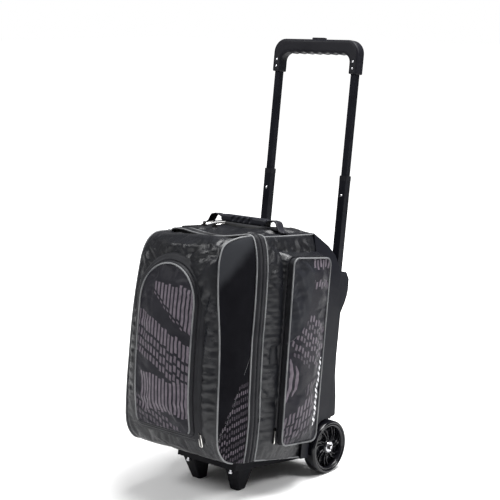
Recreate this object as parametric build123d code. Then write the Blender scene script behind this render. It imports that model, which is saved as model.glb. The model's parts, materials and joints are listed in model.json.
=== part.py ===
"""Rolling bag for two bowling balls.

Everything is drawn in the bag's own upright frame: X to the wearer's right when
facing the front pocket, Y towards the pull handle, Z up along the back, with the
origin at the middle of the axle.  At the end every piece is leaned back on the
wheels and front feet, and the origin goes to the bottom centre of the whole bag.
All sizes are in millimetres.
"""
from build123d import *
import math
import os

# ---- Driving dimensions ------------------------------------------------------
lean_deg = 8.0                # the standing bag leans back by this much
gap = 0.4                     # clearance between pieces that move past each other

# Wheels and axle
wheel_dia = 127.0             # 5 inch wheels
wheel_width = 34.0
wheel_face_x = 162.0          # outer face of each wheel
tyre_thick = 8.0
rim_thick = 7.0
hub_dia = 34.0
bearing_dia = 22.0
bearing_width = 8.0
axle_dia = 8.0
axle_clearance = 0.05
spoke_count = 8
spoke_width = 5.0
spoke_thick = 14.0
nut_across = 13.0
nut_height = 6.0

# Soft body
body_half = 145.0             # half the width at the sides
top_half = 121.0              # half the width at the top
shoulder_z = 350.0            # above this the sides curve in
fabric = 5.0                  # padded fabric wall
zip_y = -293.0                # plane of the main zip, where the front shell parts
zip_band = 18.0               # half of the zip band
zip_tape = 2.0
body_front_y = -416.0
body_top_front_z = 500.0
body_top_rear_z = 513.0
body_bottom_front_z = 2.0
body_bottom_rear_z = -16.0
slope_low = (49.0, 14.0)      # the front wall's lower slope, behind body_front_y and up
slope_high = (34.0, 50.0)
slope_end = (13.0, 110.0)
seam_z = 472.0                # the front wall's top seam
rim_y = -96.0                 # front edge of the back plate, over the fabric

# Back plate and the covers on the handle tubes
plate_wall = 3.0
plate_rear_y = -2.0
plate_toe_y = -12.0           # the plate steps forward here to clear the axle
back_pad_top_z = 417.0        # the pad inside the plate ends here
well_clear = 6.0              # air between the wheel and its well
bumper_reach = 52.0           # how far the upper bumper stands behind the plate
fender_reach = 46.0
cover_half = 17.0             # half width of a tube cover

# Base tray, feet and crossbar
tray_half = 90.0
tray_front_y = -259.0
tray_rear_y = 12.0
tray_bottom_z = -41.0
tray_wall = 4.0
foot_x = 60.0                 # middle of each foot
foot_front_y = -233.0
foot_side = 26.0              # foot pad on the floor
foot_top_wide = 45.0
foot_top_deep = 77.0
screw_dia = 5.0
screw_head_dia = 9.0
screw_reach = 12.0            # how far a screw goes up into the tray
screw_pad = 6.0               # half the side of the boss round a screw
foot_screw_x = foot_x + 6
foot_screw_y = (foot_front_y - 14, foot_front_y + 42)
foot_flange = 8.0             # foot left under a screw's head
tray_rib = 3.0
tray_rib_y = (-180, -100, -40)
rivet_radius = 2.0
rivet_x = (-72, 72)
rivet_z = (60, 220, 380)

# Telescopic handle
tube_x = 115.4                # middle of each tube
tube_y = 19.0
outer_tube = 22.0
middle_tube = 19.0
upper_tube = 15.0
tube_wall = 1.2
outer_bottom_z = 14.0
outer_top_z = 414.0
middle_bottom_z = 318.0
middle_top_z = 645.0
upper_bottom_z = 575.0
socket_bottom_z = 885.0
grip_bottom_z = 931.0
grip_top_z = 965.0
grip_half = 128.0
grip_depth = 30.0
grip_outer_radius = 33.0
grip_inner_radius = 20.0
socket_side = 24.0
collar_height = 12.0
button_length = 38.0
button_width = 13.0
button_proud = 4.5
button_travel = 4.0
rod_dia = 5.0

# Front pocket
arch_half = 92.0
arch_bottom_z = 52.0
arch_top_z = 436.0
arch_seam = 10.0              # the sewn foot of the pocket stands out this much more
front_pocket_depth = 18.0
front_gusset_depth = 8.0
pocket_wall = 4.0

# Side pockets
pocket_bottom_z = 30.0
pocket_top_z = 457.0
pocket_front_low_y = -208.0
pocket_front_high_y = -224.0
pocket_rear_low_y = -82.0
pocket_rear_high_y = -88.0
pocket_depth = 30.0           # cover face beyond the side of the bag
pocket_zip_step = 15.0        # the pocket's zip runs this far out from the side
pocket_corner = 16.0

# Inside
ring_hole_dia = 150.0         # a ball sits on the edge of this hole
lower_ring_thick = 40.0
upper_ring_thick = 34.0
upper_ring_z = 238.0
board_thick = 6.0

# Zip pulls and carry handle
slider_length = 12.0
slider_width = 8.0
slider_thick = 4.0
tab_length = 32.0
tab_width = 7.0
tab_thick = 1.8
tab_bar = 1.4                 # the end of a tab that turns in its slider's bridge
main_slider_x = {"left": -40.0, "right": -8.0}
main_tab_rise = 9.0           # the main tabs rest on the rear piping, tipped up
carry_half = 67.0
carry_y = -195.0
carry_grip_z = 515.0
carry_grip_high = 18.0
carry_grip_deep = 24.0
strap_reach = 116.0
strap_width = 25.0
strap_thick = 2.5
strap_rock = 3.0              # room under the strap ends for the handle to rock

# ---- Worked-out places -------------------------------------------------------
wheel_radius = wheel_dia / 2
wheel_inner_x = wheel_face_x - wheel_width
well_radius = wheel_radius + well_clear
well_x = wheel_inner_x - well_clear
plate_half = body_half + plate_wall + gap
pocket_face_x = body_half + pocket_depth
pocket_zip_x = body_half + pocket_zip_step
plate_bottom_z = body_bottom_rear_z - plate_wall - gap
sides = {"left": -1, "right": 1}
nodes = {}


# ---- Drawing helpers ---------------------------------------------------------
def block(x, y, z):
    """A box between the low and high of each pair."""
    size = [high - low for low, high in (x, y, z)]
    middle = [(high + low) / 2 for low, high in (x, y, z)]
    return Pos(*middle) * Box(*size)


def across(face, half):
    """Extrude a Y-Z face to both sides of the middle."""
    return extrude(Plane.YZ * face, amount=half, both=True)


def along(face, half=600):
    """Extrude an X-Z face forwards and backwards."""
    return extrude(Plane.XZ * face, amount=half, both=True)


def outline(points, radius=0.0):
    """A closed face through the points, with rounded corners if asked."""
    face = make_face(Polyline(*points, close=True))
    return fillet(face.vertices(), radius) if radius else face


def mirrored(shape, side):
    """The right-hand shape, or its mirror image for the left."""
    return shape if side > 0 else mirror(shape, about=Plane.YZ)


def rod(radius, low, high):
    """A round bar from one point to another."""
    path = Vector(*high) - Vector(*low)
    start = Plane(origin=low, z_dir=path)
    return extrude(start * Circle(radius), amount=path.length)


def square_tube(side, wall, low_z, high_z, x):
    """One upright square tube of the handle."""
    high = high_z - low_z
    place = Pos(x, tube_y, (low_z + high_z) / 2)
    return place * (Box(side, side, high) - Box(side - 2 * wall, side - 2 * wall, high))


# ---- Outlines that several pieces share --------------------------------------
def width_face(inset=0.0):
    """The bag seen from the front: straight sides that curve in at the shoulder."""
    half = body_half - inset
    top = top_half - inset
    side = Line((half, -80), (half, shoulder_z))
    shoulder = TangentArc((half, shoulder_z), (top, body_top_rear_z), tangent=(0, 1))
    roof = Polyline((top, body_top_rear_z), (top, 600), (0, 600), (0, -80), (half, -80))
    right = make_face([side, shoulder, roof])
    return right + mirror(right, about=Plane.YZ)


def plate_face():
    """The back plate seen from the side."""
    return outline([
        (rim_y, plate_bottom_z),
        (plate_toe_y, plate_bottom_z),
        (plate_toe_y, 10),
        (plate_rear_y, 20),
        (plate_rear_y, 419),
        (plate_rear_y - 19, 458),
        (plate_rear_y - 43, 479),
        (rim_y, 508),
    ])


def body_face():
    """The soft body seen from the side; its rear part is inside the back plate."""
    main = outline([
        (rim_y, body_bottom_rear_z),
        (rim_y, 508),
        (rim_y - 19, body_top_rear_z),
        (zip_y, body_top_front_z + 3),
        (body_front_y + 9, body_top_front_z - 2),
        (body_front_y, 424),
        (body_front_y, 185),
        (body_front_y + slope_end[0], slope_end[1]),
        (body_front_y + slope_high[0], slope_high[1]),
        (body_front_y + slope_low[0], slope_low[1]),
        (min(body_front_y + 68, zip_y - zip_band), body_bottom_front_z),
        (zip_y, body_bottom_front_z),
    ])
    tucked = offset(plate_face(), -(plate_wall + gap), kind=Kind.INTERSECTION)
    return main + tucked + Pos(-plate_wall - 2 * gap, 0) * tucked


side_view = body_face()
side_view_inner = offset(side_view, -fabric, kind=Kind.INTERSECTION)
front_view = width_face()
wells = Compound(children=[
    Pos(side * (well_x + 50), 0, 0) * Rot(0, 90, 0) * Cylinder(well_radius, 100)
    for side in sides.values()
])
wells_padded = Compound(children=[
    Pos(side * (well_x + 50 - plate_wall - gap), 0, 0) * Rot(0, 90, 0)
    * Cylinder(well_radius + plate_wall + gap, 100)
    for side in sides.values()
])
outside = (across(side_view, 200) & along(front_view)) - wells_padded
inner_width = along(width_face(fabric))
wells_inner = Compound(children=[
    Pos(side * (well_x + 50 - plate_wall - gap - fabric), 0, 0) * Rot(0, 90, 0)
    * Cylinder(well_radius + plate_wall + gap + fabric, 100)
    for side in sides.values()
])
inside = (across(side_view_inner, 200) & inner_width) - wells_inner
ahead = block((-300, 300), (-600, zip_y - gap / 2), (-200, 700))
behind = block((-300, 300), (zip_y + gap / 2, 200), (-200, 700))


# ---- Wheels and axle ---------------------------------------------------------
def make_wheels():
    rim_radius = wheel_radius - tyre_thick
    for name, side in sides.items():
        place = Pos(side * (wheel_face_x - wheel_width / 2), 0, 0) * Rot(0, 90, 0)
        tyre = Cylinder(wheel_radius, wheel_width) - Cylinder(rim_radius, wheel_width)
        edges = tyre.edges().filter_by(GeomType.CIRCLE).sort_by(SortBy.RADIUS)[-2:]
        nodes["wheel_tyre_" + name] = place * fillet(edges, 5)

        rim = Cylinder(rim_radius, wheel_width - 6)
        rim -= Cylinder(rim_radius - rim_thick, wheel_width)
        barrel = Cylinder(hub_dia / 2, wheel_width - 8)
        reach = rim_radius - rim_thick / 2
        spokes = [
            Rot(0, 0, turn * 360 / spoke_count) * Pos(reach / 2, 0, 0)
            * Box(reach, spoke_width, spoke_thick)
            for turn in range(spoke_count)
        ]
        hub = rim + barrel + spokes - Cylinder(bearing_dia / 2, wheel_width)
        nodes["wheel_hub_" + name] = place * hub

        bearing = Cylinder(bearing_dia / 2, bearing_width)
        bearing -= Cylinder(axle_dia / 2 + axle_clearance, bearing_width)
        spread = (wheel_width - 8 - bearing_width) / 2
        pair = [Pos(0, 0, shift) * bearing for shift in (-spread, spread)]
        nodes["wheel_bearings_" + name] = place * Compound(children=pair)

    end = wheel_face_x + 2
    nodes["axle"] = rod(axle_dia / 2, (-end, 0, 0), (end, 0, 0))
    nut_x = wheel_face_x - 4 + 2 * gap
    nut = extrude(RegularPolygon(nut_across / 2, 6), amount=nut_height)
    nut -= Cylinder(axle_dia / 2, 60)
    right = Pos(nut_x, 0, 0) * Rot(0, 90, 0) * nut
    nodes["axle_nuts"] = Compound(children=[right, mirror(right, about=Plane.YZ)])


# ---- Base tray and feet ------------------------------------------------------
def make_base():
    top_front = body_bottom_front_z - gap - 2.5
    profile = outline([
        (tray_front_y, tray_bottom_z),
        (tray_rear_y, tray_bottom_z),
        (tray_rear_y, plate_bottom_z - gap),
        (rim_y, plate_bottom_z - gap),
        (tray_front_y, top_front - 3),
    ])
    tray = across(profile, tray_half)
    hollow = across(offset(profile, -tray_wall, kind=Kind.INTERSECTION), tray_half - tray_wall)
    hollow += Pos(0, 0, -tray_wall) * hollow
    half_rib = tray_rib / 2
    for y in tray_rib_y:
        hollow -= block((-tray_half, tray_half), (y - half_rib, y + half_rib), (-60, 20))
    for x in (-foot_x, 0, foot_x):
        hollow -= block((x - half_rib, x + half_rib), (-300, 50), (-60, 20))
    tray -= hollow
    tray += block((-tray_half, tray_half), (plate_toe_y + gap, tray_rear_y), (tray_bottom_z, 9.5))
    tray -= rod(axle_dia / 2, (-200, 0, 0), (200, 0, 0))
    hole_places = []
    for side in sides.values():
        for y in foot_screw_y:
            hole_places.append((side * foot_screw_x, y))
    pads = [block((x - screw_pad, x + screw_pad), (y - screw_pad, y + screw_pad),
                  (tray_bottom_z, tray_bottom_z + screw_reach + 2)) for x, y in hole_places]
    holes = [rod(screw_dia / 2, (x, y, tray_bottom_z), (x, y, tray_bottom_z + screw_reach))
             for x, y in hole_places]
    nodes["base_tray"] = tray + pads - holes

    screws = []
    for x, y in hole_places:
        under_head = tray_bottom_z - foot_flange
        shank = rod(screw_dia / 2, (x, y, under_head), (x, y, tray_bottom_z + screw_reach))
        head = rod(screw_head_dia / 2, (x, y, under_head - 3), (x, y, under_head))
        screws.append(shank + head)
    nodes["foot_screws"] = Compound(children=screws)

    for name, side in sides.items():
        foot = make_foot()
        for x, y in hole_places:
            if x > 0:
                foot -= rod(screw_dia / 2, (x, y, tray_bottom_z - 12), (x, y, tray_bottom_z))
                foot -= rod(screw_head_dia / 2 + 1, (x, y, -120), (x, y, tray_bottom_z - foot_flange))
        nodes["front_foot_" + name] = mirrored(foot, side)


def make_foot():
    """A tapered foot whose pad is level with the floor when the bag stands."""
    low = foot_side / 2
    inner_x = foot_x - low
    floor = Pos(foot_x, foot_front_y + low, 0) * RectangleRounded(foot_side, foot_side, 4)
    top_place = Pos(inner_x + foot_top_wide / 2, foot_front_y - 26 + foot_top_deep / 2, 80)
    top = top_place * RectangleRounded(foot_top_wide, foot_top_deep, 6)
    foot = unstand(loft([floor, top]))
    return foot - block((-300, 300), (-400, 100), (tray_bottom_z, 300))


# ---- Back plate, tube covers and the fixed tubes -----------------------------
def make_back():
    face = plate_face()
    hollow_face = offset(face, -plate_wall, kind=Kind.INTERSECTION)
    hollow_face += Pos(-plate_wall - 1, 0) * hollow_face
    shell_width = extrude(Plane.XZ * plate_width_face(0), amount=600, both=True)
    hollow_width = extrude(Plane.XZ * plate_width_face(plate_wall), amount=600, both=True)
    well_skin = Compound(children=[
        Pos(side * (well_x + 50 - plate_wall), 0, 0) * Rot(0, 90, 0)
        * Cylinder(well_radius + plate_wall, 100) for side in sides.values()
    ])
    outer = (across(face, 200) & shell_width) - wells
    hollow = (across(hollow_face, 200) & hollow_width) - well_skin
    plate = outer - hollow
    nodes["back_plate"] = plate - plate_bolts(rivet_radius)
    nodes["plate_rivets"] = Compound(children=plate_bolts(rivet_radius, head=True))

    for name, side in sides.items():
        nodes["outer_tube_" + name] = square_tube(
            outer_tube, tube_wall, outer_bottom_z, outer_top_z, side * tube_x)
        nodes["tube_cover_" + name] = mirrored(make_tube_cover(), side)

    bar_z = outer_bottom_z - 8
    bar = block((-tube_x - 11, tube_x + 11), (tube_y - 6, tube_y + 6), (bar_z - 6, outer_bottom_z))
    nodes["lower_crossbar"] = bar - rod(axle_dia / 2 + gap, (-200, 0, 0), (200, 0, 0))


def plate_width_face(inset):
    half = plate_half - inset
    top = top_half + plate_wall + gap - inset
    side = Line((half, -80), (half, shoulder_z))
    shoulder = TangentArc((half, shoulder_z), (top, body_top_rear_z), tangent=(0, 1))
    roof = Polyline((top, body_top_rear_z), (top, 600), (0, 600), (0, -80), (half, -80))
    right = make_face([side, shoulder, roof])
    return right + mirror(right, about=Plane.YZ)


def plate_bolts(radius, head=False):
    """Rivets that hold the plate to the crossbar and the covers to the plate."""
    found = []
    for x in rivet_x:
        for z in rivet_z:
            pin = rod(radius, (x, plate_rear_y - plate_wall, z), (x, plate_rear_y, z))
            if head:
                pin += rod(radius * 2, (x, plate_rear_y, z), (x, plate_rear_y + 1.6, z))
            found.append(pin)
    return found


def make_tube_cover():
    """A channel over one fixed tube, with a bumper at its top and a fender below."""
    rear = tube_y + outer_tube / 2 + 2.4
    start = plate_rear_y
    side_face = outline([
        (start, 16), (rear - 6, 16), (rear - 2, 62),
        (start + fender_reach + 6, 66), (start + fender_reach + 2, 112),
        (rear + 3, 165), (rear, 215), (rear, 318),
        (rear + 12, 340), (start + bumper_reach, 354),
        (start + bumper_reach + 4, 372), (start + bumper_reach + 3, 400),
        (start + bumper_reach - 8, 416), (start, 419),
    ])
    knuckles = [corner for corner in side_face.vertices() if corner.X > start + fender_reach - 4]
    side_face = fillet(knuckles, 5)
    cover = extrude(Plane.YZ * side_face, amount=2 * cover_half)
    cover = Pos(tube_x - cover_half, 0, 0) * cover
    side_edges = cover.edges().filter_by(GeomType.LINE).filter_by_position(
        Axis.Y, rear - 3, 300, (True, True))
    long_edges = [edge for edge in side_edges if abs(edge.tangent_at(0).X) < 0.5]
    cover = chamfer(long_edges, 3)
    room = outer_tube + 2 * 0.1
    cover -= Pos(tube_x, tube_y, 230) * Box(room, room, 400)
    cover -= Pos(tube_x, tube_y - 8, 14) * Box(room, room + 16, 34)
    cover -= wells_for_covers()
    return cover


def wells_for_covers():
    """Room for the wheel beside the lower end of a cover."""
    return Pos(wheel_inner_x - 2 + 50, 0, 0) * Rot(0, 90, 0) * Cylinder(wheel_radius + 3, 100)


# ---- Soft body ---------------------------------------------------------------
def make_soft_body():
    walls = outside - inside
    side_zone = {
        name: block((min(0, side * 300), max(0, side * 300)), (-600, 200), (-200, 700)) - inner_width
        for name, side in sides.items()
    }
    ring = walls - side_zone["left"] - side_zone["right"]
    for name in sides:
        panel = walls & side_zone[name]
        nodes["rear_side_" + name] = panel & behind
        nodes["front_side_" + name] = panel & ahead

    rear_ring = ring & behind
    back_zone = block((-300, 300), (-60, 200), (-5, back_pad_top_z))
    above_pad = block((-300, 300), (-600, 200), (back_pad_top_z, 700))
    near_floor = block((-300, 300), (-600, 200), (-200, slope_low[1] - 2))
    nodes["rear_back_pad"] = rear_ring & back_zone
    nodes["rear_top"] = largest(rear_ring & above_pad)
    nodes["rear_floor"] = largest((rear_ring & near_floor) - back_zone)

    front_ring = ring & ahead
    top_zone = block((-300, 300), (-600, zip_y), (seam_z, 700))
    low_zone = block((-300, 300), (body_front_y + slope_low[0], zip_y), (-200, 200))
    nodes["front_top"] = front_ring & top_zone
    nodes["front_bottom"] = front_ring & low_zone
    pocket_way_in = along(arch_face(pocket_wall + 8))
    nodes["front_wall"] = front_ring - top_zone - low_zone - pocket_way_in

    half = body_half - fabric - 1
    divider_y = zip_y - 6
    face = width_face(fabric + gap)
    room_z = (body_bottom_front_z + fabric + gap, body_top_front_z - fabric - gap)
    nodes["shoe_divider"] = along(face) & block((-half, half), (divider_y - 3, divider_y), room_z)


def largest(shape):
    """The biggest solid of a shape."""
    return shape.solids().sort_by(SortBy.VOLUME)[-1]


def make_zip_bands():
    """The two halves of the main zip: a tape that runs up, over and down."""
    skin = across(offset(side_view, zip_tape, kind=Kind.INTERSECTION), 200)
    skin = (skin & along(width_face(-zip_tape))) - across(offset(side_view, gap / 4), 200)
    skin += (across(side_view, 200) & along(width_face(-zip_tape))) - along(width_face(-gap / 4))
    skin -= block((-300, 300), (-600, 200), (-200, 14))
    nodes["main_zip_front"] = skin & block(
        (-300, 300), (zip_y - zip_band, zip_y - gap / 2), (-200, 700))
    nodes["main_zip_rear"] = skin & block(
        (-300, 300), (zip_y + gap / 2, zip_y + zip_band), (-200, 700))


# ---- Front pocket ------------------------------------------------------------
def arch_face(inset=0.0):
    """The arched front pocket seen from the front."""
    half = arch_half - inset
    top = arch_top_z - inset
    low = arch_bottom_z + inset
    spring = top - half * 1.05
    return make_face([
        Line((-half, low), (half, low)),
        Line((half, low), (half, spring)),
        ThreePointArc((half, spring), (0, top), (-half, spring)),
        Line((-half, spring), (-half, low)),
    ])


def front_layer(low, high):
    """A layer in front of the front wall, between two distances from it."""
    outer = offset(side_view, high, kind=Kind.INTERSECTION)
    inner = offset(side_view, low, kind=Kind.INTERSECTION)
    zone = block((-300, 300), (-600, body_front_y + 60), (-200, 600))
    return (across(outer, 200) - across(inner, 200)) & zone


def make_front_pocket():
    gusset = front_layer(gap, front_gusset_depth) & along(arch_face(-arch_seam))
    nodes["front_pocket_gusset"] = gusset - along(arch_face(pocket_wall + 2))
    skin = front_layer(front_gusset_depth + gap, front_pocket_depth) & along(arch_face())
    room = front_layer(front_gusset_depth, front_pocket_depth - pocket_wall)
    nodes["front_pocket_flap"] = skin - (room & along(arch_face(pocket_wall)))


# ---- Side pockets ------------------------------------------------------------
def pocket_face(inset=0.0):
    """A side pocket seen from the side."""
    face = outline([
        (pocket_front_low_y, pocket_bottom_z),
        (pocket_front_high_y, pocket_top_z),
        (pocket_rear_high_y, pocket_top_z),
        (pocket_rear_low_y, pocket_bottom_z),
    ], pocket_corner)
    return offset(face, -inset) if inset else face


def make_side_pockets():
    ring_face = Plane.YZ * (pocket_face() - pocket_face(pocket_wall))
    ring = Pos(80, 0, 0) * extrude(ring_face, amount=pocket_zip_x - 80)
    ring -= along(width_face(-gap))
    ring -= along(plate_width_face(-gap)) & block((-300, 300), (rim_y - gap, 200), (-200, 700))
    cover = Pos(pocket_zip_x + gap, 0, 0) * extrude(
        Plane.YZ * pocket_face(), amount=pocket_face_x - pocket_zip_x - gap)
    cover -= Pos(pocket_zip_x - 1, 0, 0) * extrude(
        Plane.YZ * pocket_face(pocket_wall), amount=pocket_face_x - pocket_wall - pocket_zip_x + 1)
    for name, side in sides.items():
        nodes["side_pocket_box_" + name] = mirrored(ring, side)
        nodes["side_pocket_cover_" + name] = mirrored(cover, side)


# ---- Inside ------------------------------------------------------------------
def make_inside():
    """Foam rings that the two balls sit in, one above the other."""
    floor_z = 14.0
    half = body_half - fabric - gap
    low_y = zip_y + 4
    inset = plate_wall + fabric + 3 * gap
    high_y = plate_toe_y - inset
    ball_y = (low_y + high_y) / 2
    well_room = Compound(children=[
        Pos(side * (well_x + 50 - plate_wall - fabric - 3 * gap), 0, 0) * Rot(0, 90, 0)
        * Cylinder(well_radius + plate_wall + fabric + 3 * gap, 100)
        for side in sides.values()
    ])
    board = block((-half, half), (low_y, high_y), (floor_z, floor_z + board_thick)) - well_room
    nodes["base_board"] = board
    ring_z = floor_z + board_thick
    hole = Pos(0, ball_y, 0) * Cylinder(ring_hole_dia / 2, 2000)
    lower = block((-half, half), (low_y, high_y), (ring_z, ring_z + lower_ring_thick))
    nodes["ball_ring_lower"] = lower - well_room - hole
    upper = block((-half, half), (low_y, plate_rear_y - inset), (upper_ring_z, upper_ring_z + upper_ring_thick))
    nodes["ball_ring_upper"] = upper - hole


# ---- Zip sliders and their pull tabs -----------------------------------------
def make_slider(turn=0):
    """A slider with its tape at Z = 0 and its bridge along X, which its body may be turned from."""
    body = Pos(0, 0, slider_thick / 2) * Rot(0, 0, turn) * Box(slider_length, slider_width, slider_thick)
    body = fillet(body.edges().filter_by(Axis.Z), 2)
    bridge = Pos(0, 0, slider_thick + 1.8) * Box(7, 2.4, 3.6)
    eye = Pos(0, 0, slider_thick + 1.4) * Box(4, 8, 2.4)
    return body + (bridge - eye)


def make_tab():
    """A pull tab that lies along +X from the bar in its slider's bridge."""
    tab = Pos((tab_length - tab_bar) / 2, 0, 0) * Box(tab_length, tab_width, tab_thick)
    tab = fillet(tab.edges().filter_by(Axis.Z), 2)
    window = Pos(tab_bar / 2 + 2.2, 0, 0) * Box(4.4, 3.4, 10)
    return Pos(0, 0, slider_thick + 1.4) * (tab - window)


def seat(place, run, out):
    """A slider's seat: where it is, which way its tab points, and which way it faces."""
    return Plane(origin=place, x_dir=run, z_dir=out)


def side_zip_seat():
    """On the front gusset of the right side pocket, with the tab hanging down."""
    rise = pocket_top_z - pocket_bottom_z
    lean = pocket_front_high_y - pocket_front_low_y
    start_z = pocket_bottom_z + 34
    start_y = pocket_front_low_y + lean * (start_z - pocket_bottom_z) / rise
    return seat((pocket_zip_x - 5, start_y - gap, start_z), (0, -lean, -rise), (0, -rise, lean))


def front_zip_seat():
    """On the sewn foot of the front pocket, low down where the wall slopes back."""
    rise = slope_end[1] - slope_high[1]
    back = slope_high[0] - slope_end[0]
    size = math.hypot(rise, back)
    lift = front_gusset_depth + gap
    share = 0.3                   # how far up the slope the slider sits
    y = body_front_y + slope_high[0] - back * share - lift * rise / size
    z = slope_high[1] + rise * share - lift * back / size
    return seat((arch_half + arch_seam / 2, y, z), (0, back, -rise), (0, -rise, -back))


def make_pulls():
    slider = make_slider()
    crossed = make_slider(turn=90)
    tab = make_tab()
    roof_z = body_top_front_z + 3 + zip_tape + gap
    for name, x in main_slider_x.items():
        place = seat((x, zip_y, roof_z), (0, 1, 0), (0, 0, 1))
        nodes["main_zip_slider_" + name] = place * crossed
        bar_z = slider_thick + 1.4
        tipped = Pos(0, 0, bar_z) * Rot(0, -main_tab_rise, 0) * Pos(0, 0, -bar_z) * tab
        nodes["main_zip_tab_" + name] = place * tipped
    for name, side in sides.items():
        nodes["side_zip_slider_" + name] = mirrored(side_zip_seat() * slider, side)
        nodes["side_zip_tab_" + name] = mirrored(side_zip_seat() * tab, side)
    nodes["front_zip_slider"] = front_zip_seat() * slider
    nodes["front_zip_tab"] = front_zip_seat() * tab


# ---- Carry handle ------------------------------------------------------------
def make_carry_handle():
    low = carry_grip_z
    high = low + carry_grip_high
    grip = block((-carry_half, carry_half),
                 (carry_y - carry_grip_deep / 2, carry_y + carry_grip_deep / 2), (low, high))
    grip = fillet(grip.edges().filter_by(Axis.X), 6)
    lie_z = roof_height(carry_y + strap_width / 2) + strap_rock
    rise_z = low + 4
    strap_face = outline([
        (carry_half, rise_z), (carry_half + 10, rise_z), (carry_half + 24, lie_z),
        (strap_reach, lie_z), (strap_reach, lie_z + strap_thick),
        (carry_half + 26, lie_z + strap_thick), (carry_half + 12, rise_z + strap_thick),
        (carry_half, rise_z + strap_thick),
    ])
    strap = Pos(0, carry_y, 0) * extrude(Plane.XZ * strap_face, amount=strap_width / 2, both=True)
    nodes["carry_grip"] = grip
    nodes["carry_straps"] = Compound(children=[strap, mirror(strap, about=Plane.YZ)])


def roof_height(y):
    """Height of the roof at a place between the zip and the rear edge."""
    part = (y - zip_y) / (rim_y - 19 - zip_y)
    return body_top_front_z + 3 + part * (body_top_rear_z - body_top_front_z - 3)


# ---- Telescopic handle -------------------------------------------------------
def make_handle():
    middle = [square_tube(middle_tube, tube_wall, middle_bottom_z, middle_top_z - collar_height,
                          side * tube_x) for side in sides.values()]
    nodes["middle_tubes"] = Compound(children=middle)
    collar_side = middle_tube + 1.6
    collar_room = upper_tube + 2 * gap
    high = collar_height
    collar = Box(collar_side, collar_side, high)
    collar = fillet(collar.edges().filter_by(Axis.Z), 2)
    collar -= Box(collar_room, collar_room, high)
    nodes["middle_collars"] = Compound(children=[
        Pos(side * tube_x, tube_y, middle_top_z - high / 2) * collar for side in sides.values()])
    upper = [square_tube(upper_tube, tube_wall, upper_bottom_z, grip_bottom_z, side * tube_x)
             for side in sides.values()]
    nodes["upper_tubes"] = Compound(children=upper)

    inner_half = tube_x - socket_side / 2
    bow_face = outline([
        (-grip_half, socket_bottom_z), (-grip_half, grip_top_z), (grip_half, grip_top_z),
        (grip_half, socket_bottom_z), (inner_half, socket_bottom_z), (inner_half, grip_bottom_z),
        (-inner_half, grip_bottom_z), (-inner_half, socket_bottom_z),
    ])
    bow_face = fillet(bow_face.vertices().group_by(Axis.Y)[-1], grip_outer_radius)
    under = [corner for corner in bow_face.vertices() if abs(corner.Y - grip_bottom_z) < 1]
    bow_face = fillet([corner for corner in under if abs(corner.X) < inner_half + 1], grip_inner_radius)
    bow = Pos(0, tube_y, 0) * extrude(Plane.XZ * bow_face, amount=grip_depth / 2, both=True)
    outer_edges = bow.edges().group_by(Axis.Y)[0] + bow.edges().group_by(Axis.Y)[-1]
    bow = fillet([edge for edge in outer_edges if edge.center().Z > socket_bottom_z + 1], 6)
    room = upper_tube + 0.02
    bores = [Pos(side * tube_x, tube_y, (socket_bottom_z + grip_bottom_z) / 2)
             * Box(room, room, grip_bottom_z - socket_bottom_z) for side in sides.values()]
    half = tube_x + rod_dia / 2 + 1
    link_low = grip_bottom_z + 3
    channel = block((-half, half), (tube_y - 4, tube_y + 4), (link_low, link_low + 16))
    drops = [rod(rod_dia / 2 + gap, (side * tube_x, tube_y, grip_bottom_z - 1),
                 (side * tube_x, tube_y, link_low + 1)) for side in sides.values()]
    slot = block((-button_length / 2 - gap, button_length / 2 + gap),
                 (tube_y - button_width / 2 - gap, tube_y + button_width / 2 + gap),
                 (grip_top_z - 8, grip_top_z + 1))
    window = block((-8, 8), (tube_y - 4, tube_y + 4), (link_low + 15, grip_top_z))
    nodes["grip"] = bow - bores - channel - drops - slot - window

    button = block((-button_length / 2, button_length / 2),
                   (tube_y - button_width / 2, tube_y + button_width / 2),
                   (grip_top_z - 8 + button_travel + gap, grip_top_z + button_proud))
    button = fillet(button.edges().filter_by(Axis.Z), 4)
    button = fillet(button.faces().sort_by(Axis.Z)[-1].edges(), 1.5)
    bar_high = link_low + 15.5
    bar_low = bar_high - 6
    stem = block((-6, 6), (tube_y - 3, tube_y + 3), (bar_high, grip_top_z - 8 + button_travel + gap))
    nodes["release_button"] = button + stem
    link = block((-tube_x - 3, tube_x + 3), (tube_y - 3, tube_y + 3), (bar_low, bar_high))
    rods = [rod(rod_dia / 2, (side * tube_x, tube_y, upper_bottom_z + 12),
                (side * tube_x, tube_y, bar_low)) for side in sides.values()]
    nodes["release_linkage"] = link + rods
    spring_high = bar_low - link_low
    coil = Cylinder(3.5, spring_high) - Cylinder(2.4, spring_high)
    nodes["button_spring"] = Pos(0, tube_y, link_low + spring_high / 2) * coil


# ---- Stand the bag on its wheels and feet ------------------------------------
stand_turn = Pos(0, 0, wheel_radius) * Rot(-lean_deg, 0, 0)


def unstand(shape):
    """From the standing frame back to the bag's own frame."""
    return stand_turn.inverse() * shape


make_wheels()
make_base()
make_back()
make_soft_body()
make_zip_bands()
make_front_pocket()
make_side_pockets()
make_inside()
make_pulls()
make_carry_handle()
make_handle()

standing = {name: stand_turn * shape for name, shape in nodes.items()}
boxes = [shape.bounding_box() for shape in standing.values()]
front_y = min(box.min.Y for box in boxes)
back_y = max(box.max.Y for box in boxes)
floor_z = min(box.min.Z for box in boxes)
to_origin = Pos(0, -(front_y + back_y) / 2, -floor_z)

os.makedirs("parts", exist_ok=True)
for name, shape in standing.items():
    export_step(to_origin * shape, f"parts/{name}.step")
print(len(nodes), "nodes; origin moved by", to_origin.position)
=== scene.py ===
"""Looks of the rolling bowling bag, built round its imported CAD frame."""

import json
import math

import bmesh
import bpy
import numpy as np
from mathutils import Matrix, Vector


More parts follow.
